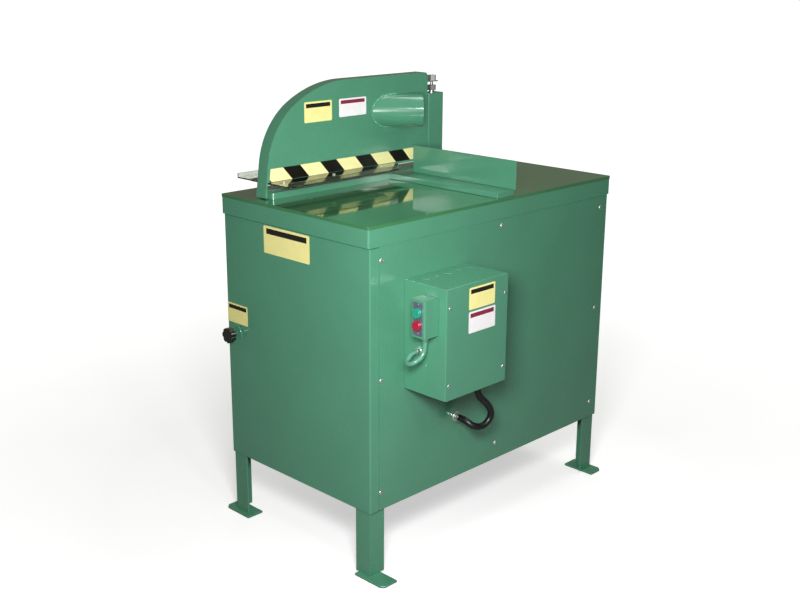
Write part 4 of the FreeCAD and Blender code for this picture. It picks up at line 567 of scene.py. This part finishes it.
def studio_lamp(name, place, aim, size, watts, mirrored):
    """A square soft box, which gloss shows only where it is asked to."""
    data = bpy.data.lights.new(name, "AREA")
    data.shape = "SQUARE"
    data.size = size
    data.energy = watts
    lamp = loose_object(name, data)
    lamp.location = place
    lamp.visible_camera = False
    lamp.visible_glossy = mirrored
    lamp.rotation_mode = "QUATERNION"
    lamp.rotation_quaternion = (Vector(aim) - Vector(place)).to_track_quat("-Z", "Y")


def studio_world():
    """White to the camera, and dim and warm as light on the object."""
    world = bpy.data.worlds.new("studio")
    world.use_nodes = True
    tree = world.node_tree
    tree.nodes.clear()
    share = background_share(tree)
    strength = add(tree, "ShaderNodeMapRange", {"Value": share, "To Min": WORLD_FILL, "To Max": 1.0})
    hue = mixed(tree, share, linear("f4f0d4"), WHITE)
    sky = add(tree, "ShaderNodeBackground", {"Color": hue, "Strength": strength.outputs[0]})
    add(tree, "ShaderNodeOutputWorld", {"Surface": sky.outputs[0]})
    return world


def studio_floor():
    """White paper, which takes the object's shadow and turns into the white of the world farther off."""
    material, tree, shader, place = finish_named("studio_floor")
    clouds = grain(tree, place, 700, 3.0)
    tone = mottled(tree, clouds, linear("d8d8d8"), linear("e0e0e0"))
    share = background_share(tree)
    seen = mixed(tree, share, linear("8c8c8a"), tone)
    tree.links.new(seen, shader.inputs["Base Color"])
    shader.inputs["Roughness"].default_value = 0.9
    shader.inputs["Emission Color"].default_value = WHITE
    away = add(tree, "ShaderNodeVectorMath", {0: place}, operation="LENGTH")
    glow = add(tree, "ShaderNodeMapRange", {
        "Value": away.outputs["Value"], "From Min": FLOOR_NEAR, "From Max": FLOOR_FAR,
        "To Min": FLOOR_GLOW_NEAR, "To Max": FLOOR_GLOW_FAR})
    tree.links.new(maths(tree, "MULTIPLY", share, glow.outputs[0]), shader.inputs["Emission Strength"])
    return material


def floor_mesh():
    """A square of floor that reaches past the picture."""
    bm = bmesh.new()
    bmesh.ops.create_grid(bm, x_segments=1, y_segments=1, size=FLOOR_HALF)
    mesh = mesh_from("floor", bm)
    mesh.materials.append(studio_floor())
    return mesh


def studio_camera():
    """The camera, where the object was seen from."""
    data = bpy.data.cameras.new("camera")
    data.lens = CAMERA_LENS
    data.sensor_width = 36.0
    data.clip_start, data.clip_end = CAMERA_REACH
    camera = loose_object("camera", data)
    camera.matrix_world = Matrix.Translation(CAMERA_PLACE) @ camera_turn()
    return camera


class SAW_OT_stage(bpy.types.Operator):
    """Floor, white surroundings, soft lamps and the camera"""
    bl_idname = "saw.stage"
    bl_label = "Stage"

    def execute(self, context):
        context.scene.view_settings.view_transform = "Standard"
        context.scene.world = studio_world()
        floor = loose_object("floor", floor_mesh())
        floor.location = (0, 0, -FLOOR_DROP)
        for lamp in LAMPS:
            studio_lamp(*lamp)
        context.scene.camera = studio_camera()
        return {"FINISHED"}


# Conduits: the routes are those of the CAD source, in millimetres

SMALL_ROUTE = (
    (370, -384, 640), (370, -384, 618), (369, -394, 598), (364, -414, 589),
    (347, -417, 580), (332, -407, 583), (331, -389, 599), (331, -374, 599))
POWER_ROUTE = (
    (350, -168, 474), (350, -168, 438), (351, -118, 396), (351, -104, 362),
    (344, -130, 336), (334, -160, 343), (314, -168, 358), (294, -168, 358))
# Each conduit: its name, route, CAD node, finish, slot, and length along the route in millimetres
CONDUITS = (
    ("thin_conduit", SMALL_ROUTE, "small_conduit", "green_jacket", "conduit_green", 137.7),
    ("thick_conduit", POWER_ROUTE, "power_conduit", "black_jacket", "conduit_black", 242.8),
)


def conduit(name, route, node, material, slot, route_length):
    """A flexible conduit on one smooth spline, from one fitting to the other."""
    diameter = getattr(bpy.context.scene.saw_sizes, node)
    data = bpy.data.curves.new(name, "CURVE")
    data.dimensions = "3D"
    data.resolution_u = 24
    data.bevel_depth = diameter / 2
    data.bevel_resolution = 8
    data.use_fill_caps = True
    spline = data.splines.new("NURBS")
    spline.points.add(len(route) - 1)
    for point, place in zip(spline.points, route):
        point.co = [c * MM for c in place] + [1.0]
    spline.order_u = 3
    spline.use_endpoint_u = True
    data.materials.append(finish(material))
    piece = loose_object(name, data)
    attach(piece, "frame")
    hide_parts(node)


class SAW_OT_conduits(bpy.types.Operator):
    """The two flexible conduits of the control box"""
    bl_idname = "saw.conduits"
    bl_label = "Conduits"

    def execute(self, context):
        for row in CONDUITS:
            conduit(*row)
        return {"FINISHED"}


class SAW_OT_finishes(bpy.types.Operator):
    """A finish for every CAD node, and rounded edges on the plates and sheets"""
    bl_idname = "saw.finishes"
    bl_label = "Plates and finishes"

    def execute(self, context):
        sizes = context.scene.saw_sizes
        edges = {"plate": sizes.plate_edge, "bend": sizes.bend_edge, "sheet": sizes.sheet_edge}
        for node, piece in frame["nodes"].items():
            piece.data.materials[0] = finish(SLOT_FINISH[NODE_SLOT[node]])
        for node, kind, material in SOFT_EDGES:
            soften(node, edges[kind], material)
        return {"FINISHED"}


# Tape and stickers

GUARD_MIDDLE = -152.5      # X of the guard's middle, mm
GUARD_HALF = 19.05         # half its thickness
GUARD_CORNER = 12.0        # the bend between the guard's side and its nose
NOSE_FOOT = (-450.7, 917.0)   # Y and Z of the lower end of the nose
NOSE_LEAN = 82.3           # the nose's angle from the table, in degrees
TAPE_BACK = 128.0          # Y of the tape's rear end
TAPE_WRAP = 58.0           # how far the tape goes round the bend, in degrees
TAPE_STEPS = 10            # faces round the bend
TAPE_LAYER = (0.05, 0.3)   # the tape's two faces, out from the guard's side


def tape_strip(side):
    """One strip along a side of the guard and round the bend of its nose, as a closed thin band."""
    sizes = bpy.context.scene.saw_sizes
    levels = (sizes.tape_low / MM, sizes.tape_high / MM)
    bm = bmesh.new()
    rings = []
    stations = [TAPE_WRAP * (1 - i / TAPE_STEPS) for i in range(TAPE_STEPS + 1)]
    for station in stations + ["end"]:
        ring = []
        for out in TAPE_LAYER:
            for z in levels:
                nose = NOSE_FOOT[0] + (z - NOSE_FOOT[1]) / math.tan(math.radians(NOSE_LEAN))
                turn = 0.0 if station == "end" else math.radians(station)
                reach = GUARD_CORNER + out
                x = GUARD_HALF - GUARD_CORNER + reach * math.cos(turn)
                y = TAPE_BACK if station == "end" else nose + GUARD_CORNER - reach * math.sin(turn)
                ring.append(bm.verts.new(Vector((GUARD_MIDDLE + side * x, y, z)) * MM))
        rings.append([ring[0], ring[1], ring[3], ring[2]])
    for first, second in zip(rings, rings[1:]):
        for i in range(4):
            j = (i + 1) % 4
            bm.faces.new((first[i], first[j], second[j], second[i]))
    bm.faces.new(rings[0])
    bm.faces.new(list(reversed(rings[-1])))
    bmesh.ops.recalc_face_normals(bm, faces=bm.faces)
    return bm


class SAW_OT_guard_tape(bpy.types.Operator):
    """Slanted two-colour tape along both sides of the guard"""
    bl_idname = "saw.guard_tape"
    bl_label = "Guard tape"

    def execute(self, context):
        for side, name in ((1, "guard_tape_right"), (-1, "guard_tape_left")):
            place_piece(name, mesh_from(name, tape_strip(side)), ["guard_tape"], "guard")
        return {"FINISHED"}


GUARD_SIDE = -133.45       # X of the guard's right side, mm
BOX_FACE = 417.0           # X of the box cover's outer face
FRONT_FACE = -476.0        # Y of the front door's outer face
YELLOW = ("sticker_yellow", "band_black")
RED = ("sticker_white", "band_red")
# Each sticker: its name, body, the axis and place of its face, which way it faces, its span along the
# other two axes in millimetres, and its two films
STICKERS = (
    ("guard_sticker_yellow", "guard", "x", GUARD_SIDE, 1, (-315.0, -219.0), (1097.0, 1150.5), YELLOW),
    ("guard_sticker_white", "guard", "x", GUARD_SIDE, 1, (-193.0, -93.5), (1102.0, 1150.0), RED),
    ("box_sticker_yellow", "frame", "x", BOX_FACE, 1, (-282.0, -187.0), (702.0, 757.0), YELLOW),
    ("box_sticker_white", "frame", "x", BOX_FACE, 1, (-282.0, -184.0), (643.0, 697.0), RED),
    ("front_sticker", "door", "y", FRONT_FACE, -1, (-113.0, 64.0), (784.0, 856.0), YELLOW),
    ("latch_sticker", "door", "y", FRONT_FACE, -1, (-276.0, -191.0), (565.0, 619.0), YELLOW),
)
STICKER_CORNER = 3.5
STICKER_CORNER_STEPS = 5
STICKER_GAP = 0.02         # between the sticker's back and the paint, mm
BAND_SIDE = 0.06           # the band's margins, as shares of the sticker
BAND_TOP = 0.09
BAND_HEIGHT = 0.2


def sticker(name, body, axis, at, facing, across, up, films):
    """A blank sticker with rounded corners and one plain band near its top."""
    thickness = bpy.context.scene.saw_sizes.sticker_thickness / MM
    bm = bmesh.new()
    corners = []
    r = STICKER_CORNER
    for u, v, start in ((across[1] - r, up[1] - r, 0), (across[0] + r, up[1] - r, 90),
                        (across[0] + r, up[0] + r, 180), (across[1] - r, up[0] + r, 270)):
        for i in range(STICKER_CORNER_STEPS + 1):
            turn = math.radians(start + 90 * i / STICKER_CORNER_STEPS)
            corners.append((u + r * math.cos(turn), v + r * math.sin(turn)))
    layers = []
    for out in (STICKER_GAP, thickness):
        place = at + facing * out
        points = [(place, u, v) if axis == "x" else (u, place, v) for u, v in corners]
        layers.append([bm.verts.new(Vector(p) * MM) for p in points])
    bm.faces.new(layers[0])
    bm.faces.new(layers[1])
    for i in range(len(corners)):
        j = (i + 1) % len(corners)
        bm.faces.new((layers[0][i], layers[0][j], layers[1][j], layers[1][i]))
    bmesh.ops.recalc_face_normals(bm, faces=bm.faces)
    wide, high = across[1] - across[0], up[1] - up[0]
    u_cuts = (across[0] + BAND_SIDE * wide, across[1] - BAND_SIDE * wide)
    v_cuts = (up[1] - (BAND_TOP + BAND_HEIGHT) * high, up[1] - BAND_TOP * high)
    u_axis = 1 if axis == "x" else 0
    for index, cuts in ((u_axis, u_cuts), (2, v_cuts)):
        for cut in cuts:
            place = Vector((0, 0, 0))
            normal = Vector((0, 0, 0))
            place[index] = cut * MM
            normal[index] = 1.0
            everything = bm.verts[:] + bm.edges[:] + bm.faces[:]
            bmesh.ops.bisect_plane(bm, geom=everything, plane_co=place, plane_no=normal)
    for face in bm.faces:
        middle = face.calc_center_median() / MM
        inside = u_cuts[0] < middle[u_axis] < u_cuts[1] and v_cuts[0] < middle.z < v_cuts[1]
        out = (middle.x if axis == "x" else middle.y) - at
        face.material_index = 1 if inside and out * facing > thickness * 0.9 else 0
    place_piece(name, mesh_from(name, bm), films, body)


class SAW_OT_stickers(bpy.types.Operator):
    """Blank stickers on the guard, the control box and the door"""
    bl_idname = "saw.stickers"
    bl_label = "Stickers"

    def execute(self, context):
        for row in STICKERS:
            sticker(*row)
        return {"FINISHED"}


# Repeated pieces by Geometry Nodes

def geometry_tree(name, inputs):
    """A new geometry tree, the sockets of its named inputs, and its output node."""
    tree = bpy.data.node_groups.new(name, "GeometryNodeTree")
    tree.interface.new_socket(name="Geometry", in_out="INPUT", socket_type="NodeSocketGeometry")
    for label, kind in inputs:
        tree.interface.new_socket(name=label, in_out="INPUT", socket_type=kind)
    tree.interface.new_socket(name="Geometry", in_out="OUTPUT", socket_type="NodeSocketGeometry")
    return tree, tree.nodes.new("NodeGroupInput").outputs, tree.nodes.new("NodeGroupOutput")


def grown(helper, tree, values):
    """The plain mesh that a geometry tree makes of an object. The object goes."""
    modifier = helper.modifiers.new("grow", "NODES")
    modifier.node_group = tree
    for item in tree.interface.items_tree:
        if item.in_out == "INPUT" and item.name in values:
            modifier[item.identifier] = values[item.name]
    return baked(helper)


def close_tree(tree, geometry, material, output):
    """Ends a tree in Realize Instances and Set Material."""
    real = add(tree, "GeometryNodeRealizeInstances", {"Geometry": geometry})
    painted = add(tree, "GeometryNodeSetMaterial", {"Geometry": real.outputs[0], "Material": material})
    tree.links.new(painted.outputs[0], output.inputs[0])


BEAD_SPREAD = 0.3          # how far a weld drop's place and size vary, as a share of its radius


def bead_tree():
    """Drops of weld metal along a curve, each a little off its place and size."""
    tree, given, output = geometry_tree("weld_bead", (
        ("Pitch", "NodeSocketFloat"), ("Radius", "NodeSocketFloat"), ("Seed", "NodeSocketInt"),
        ("Material", "NodeSocketMaterial")))
    evenly = add(tree, "GeometryNodeResampleCurve",
                 {"Curve": given["Geometry"], "Length": given["Pitch"]}, mode="LENGTH")
    jump = maths(tree, "MULTIPLY", given["Radius"], BEAD_SPREAD)
    back = maths(tree, "MULTIPLY", given["Radius"], -BEAD_SPREAD)
    low = add(tree, "ShaderNodeCombineXYZ", {0: back, 1: back, 2: back})
    high = add(tree, "ShaderNodeCombineXYZ", {0: jump, 1: jump, 2: jump})
    wander = add(tree, "FunctionNodeRandomValue",
                 {"Min": low.outputs[0], "Max": high.outputs[0], "Seed": given["Seed"]},
                 data_type="FLOAT_VECTOR")
    placed = add(tree, "GeometryNodeSetPosition",
                 {"Geometry": evenly.outputs[0], "Offset": wander.outputs[0]})
    drop = add(tree, "GeometryNodeMeshIcoSphere", {"Radius": given["Radius"], "Subdivisions": 2})
    size = add(tree, "FunctionNodeRandomValue",
               {"Min": [1 - BEAD_SPREAD] * 3, "Max": [1 + BEAD_SPREAD] * 3, "Seed": given["Seed"]},
               data_type="FLOAT_VECTOR")
    drops = add(tree, "GeometryNodeInstanceOnPoints", {
        "Points": placed.outputs[0], "Instance": drop.outputs[0], "Scale": size.outputs[0]})
    close_tree(tree, drops.outputs[0], given["Material"], output)
    return tree


def fastener_tree():
    """One fastener on each point, turned to the point's facing and then round its own axis by chance."""
    tree, given, output = geometry_tree("fasteners", (
        ("Fastener", "NodeSocketObject"), ("Seed", "NodeSocketInt"), ("Material", "NodeSocketMaterial")))
    facing = add(tree, "GeometryNodeInputNamedAttribute",
                 {"Name": "facing"}, data_type="FLOAT_VECTOR")
    size = add(tree, "GeometryNodeInputNamedAttribute", {"Name": "size"}, data_type="FLOAT")
    turned_to = add(tree, "FunctionNodeAlignRotationToVector",
                    {"Vector": facing.outputs["Attribute"]}, axis="Z")
    chance = add(tree, "FunctionNodeRandomValue",
                 {"Max": math.tau, "Seed": given["Seed"]}, data_type="FLOAT")
    spin = add(tree, "FunctionNodeAxisAngleToRotation", {"Axis": (0, 0, 1), "Angle": chance.outputs[1]})
    turned_round = add(tree, "FunctionNodeRotateRotation",
                       {"Rotation": turned_to.outputs[0], "Rotate By": spin.outputs[0]},
                       rotation_space="LOCAL")
    shape = add(tree, "GeometryNodeObjectInfo", {"Object": given["Fastener"]})
    rows = add(tree, "GeometryNodeInstanceOnPoints", {
        "Points": given["Geometry"], "Instance": shape.outputs["Geometry"],
        "Rotation": turned_round.outputs[0], "Scale": size.outputs["Attribute"]})
    close_tree(tree, rows.outputs[0], given["Material"], output)
    return tree


def turned(profile, segments=28):
    """A closed turned body from its profile of radius and height, the first and last points on the axis."""
    bm = bmesh.new()
    rings = []
    for radius, height in profile:
        if radius == 0:
            rings.append([bm.verts.new((0, 0, height * MM))])
            continue
        turns = [math.tau * i / segments for i in range(segments)]
        points = [Vector((radius * math.cos(t), radius * math.sin(t), height)) * MM for t in turns]
        rings.append([bm.verts.new(point) for point in points])
    for first, second in zip(rings, rings[1:]):
        for i in range(segments):
            j = (i + 1) % segments
            corners = [first[i % len(first)], first[j % len(first)],
                       second[j % len(second)], second[i % len(second)]]
            bm.faces.new(list(dict.fromkeys(corners)))
    bmesh.ops.recalc_face_normals(bm, faces=bm.faces)
    return bm


PANEL_BACK = 474.0         # Y of the back panel's outer face, mm
SCREW_HEAD = 3.0           # height of the head of the plain screw that the slotted one stands for
SCREW_RADIUS = 6.0
SCREW_TOP = 2.6
# The screw's profile, as radius and height over the head's underside
SCREW_PROFILE = (
    (0, SCREW_TOP), (1.8, 2.5), (3.6, 2.1), (5.0, 1.4), (5.8, 0.5), (SCREW_RADIUS, 0.0),
    (3.0, 0.0), (3.0, -3.0), (0, -3.0))
SCREW_SLOT = (14, 1.3, 2.4)   # the block whose lower half cuts the slot
SCREW_SHARP_DEGREES = 35


def slotted_screw():
    """A truss head screw with a straight slot, its head's underside at height 0."""
    head = loose_object("screw_form", mesh_from("screw_form", turned(SCREW_PROFILE)))
    cutter = bmesh.new()
    bmesh.ops.create_cube(cutter, size=1.0)
    bmesh.ops.scale(cutter, verts=cutter.verts, vec=[c * MM for c in SCREW_SLOT])
    bmesh.ops.translate(cutter, verts=cutter.verts, vec=(0, 0, SCREW_TOP * MM))
    slot = loose_object("slot_form", mesh_from("slot_form", cutter))
    cut = head.modifiers.new("slot", "BOOLEAN")
    cut.object = slot
    cut.operation = "DIFFERENCE"
    finished = baked(head)
    bpy.data.objects.remove(slot)
    smooth(finished, SCREW_SHARP_DEGREES)
    return loose_object("screw_form", finished)


def screw_points():
    """Where the cover screws sit: the middle of each head's underside, which way it faces, and its radius."""
    points = []
    for low, high in islands("panel_screws"):
        middle = (low + high) / 2
        if high.y > PANEL_BACK * MM:
            radius = (high.x - low.x) / 2
            points.append((Vector((middle.x, PANEL_BACK * MM, middle.z)), (0, 1, 0), radius))
            continue
        side = 1 if middle.x > 0 else -1
        radius = (high.y - low.y) / 2
        face = high.x - SCREW_HEAD * MM if side > 0 else low.x + SCREW_HEAD * MM
        if high.x > BOX_FACE * MM:
            face = BOX_FACE * MM
        points.append((Vector((face, middle.y, middle.z)), (side, 0, 0), radius))
    return points


class SAW_OT_screws(bpy.types.Operator):
    """Slotted screws of the covers, in place of the plain ones"""
    bl_idname = "saw.screws"
    bl_label = "Cover screws"

    def execute(self, context):
        points = screw_points()
        mesh = bpy.data.meshes.new("screw_points")
        mesh.from_pydata([p for p, _, _ in points], [], [])
        mesh.attributes.new("facing", "FLOAT_VECTOR", "POINT")
        mesh.attributes.new("size", "FLOAT", "POINT")
        # Adding an attribute can move the ones before it, so both are filled once they stand.
        mesh.attributes["facing"].data.foreach_set("vector", [c for _, way, _ in points for c in way])
        sizes = [radius / (SCREW_RADIUS * MM) for _, _, radius in points]
        mesh.attributes["size"].data.foreach_set("value", sizes)
        helper = loose_object("screw_points", mesh)
        screw = slotted_screw()
        made = grown(helper, fastener_tree(), {
            "Fastener": screw, "Seed": 7, "Material": finish("zinc_plate")})
        bpy.data.objects.remove(screw)
        place_piece("cover_screws", made, ["zinc_plate"], "frame", ["panel_screws"])
        return {"FINISHED"}


PIPE_SEAM = (GUARD_SIDE, -2.0, 1104.0)   # where the pipe's axis meets the guard, mm
PIPE_RADIUS = 44.45
PIPE_TURN = 50.0           # the angle between the pipe and the straight way out of the guard, in degrees
SEAM_POINTS = 96


class SAW_OT_weld(bpy.types.Operator):
    """The rough weld between the dust pipe and the guard"""
    bl_idname = "saw.weld"
    bl_label = "Weld bead"

    def execute(self, context):
        sizes = context.scene.saw_sizes
        data = bpy.data.curves.new("seam", "CURVE")
        data.dimensions = "3D"
        spline = data.splines.new("POLY")
        spline.points.add(SEAM_POINTS - 1)
        spline.use_cyclic_u = True
        stretch = 1 / math.cos(math.radians(PIPE_TURN))
        for i, point in enumerate(spline.points):
            turn = math.tau * i / SEAM_POINTS
            out = Vector((0, stretch * math.cos(turn), math.sin(turn))) * PIPE_RADIUS
            point.co = [*(Vector(PIPE_SEAM) + out) * MM, 1.0]
        helper = loose_object("seam", data)
        made = grown(helper, bead_tree(), {
            "Pitch": sizes.bead_pitch, "Radius": sizes.bead_radius, "Seed": 3,
            "Material": finish("weld_bead")})
        made.polygons.foreach_set("use_smooth", [True] * len(made.polygons))
        place_piece("pipe_weld", made, ["weld_bead"], "guard")
        return {"FINISHED"}


class SAW_PT_panel(bpy.types.Panel):
    """The saw's pieces, sizes and colours"""
    bl_idname = "SAW_PT_panel"
    bl_label = "Upcut Saw"
    bl_space_type = "VIEW_3D"
    bl_region_type = "UI"
    bl_category = "Upcut Saw"

    def draw(self, context):
        for operator in OPERATORS:
            self.layout.operator(operator.bl_idname)
        for group in (context.scene.saw_sizes, context.scene.saw_colours):
            for name in type(group).__annotations__:
                self.layout.prop(group, name)


# In the order in which main() runs them
OPERATORS = (
    SAW_OT_stage, SAW_OT_conduits, SAW_OT_finishes, SAW_OT_screws, SAW_OT_guard_tape, SAW_OT_stickers,
    SAW_OT_weld)
CLASSES = (SawColours, SawSizes, *OPERATORS, SAW_PT_panel)


def register():
    for cls in CLASSES:
        bpy.utils.register_class(cls)
    bpy.types.Scene.saw_colours = bpy.props.PointerProperty(type=SawColours)
    bpy.types.Scene.saw_sizes = bpy.props.PointerProperty(type=SawSizes)


def unregister():
    del bpy.types.Scene.saw_sizes
    del bpy.types.Scene.saw_colours
    for cls in reversed(CLASSES):
        bpy.utils.unregister_class(cls)


def main():
    register()
    make_finishes(bpy.context.scene.saw_colours)
    bpy.ops.saw.stage()
    bpy.ops.saw.conduits()
    bpy.ops.saw.finishes()
    bpy.ops.saw.screws()
    bpy.ops.saw.guard_tape()
    bpy.ops.saw.stickers()
    bpy.ops.saw.weld()


if __name__ == "__main__":
    main()
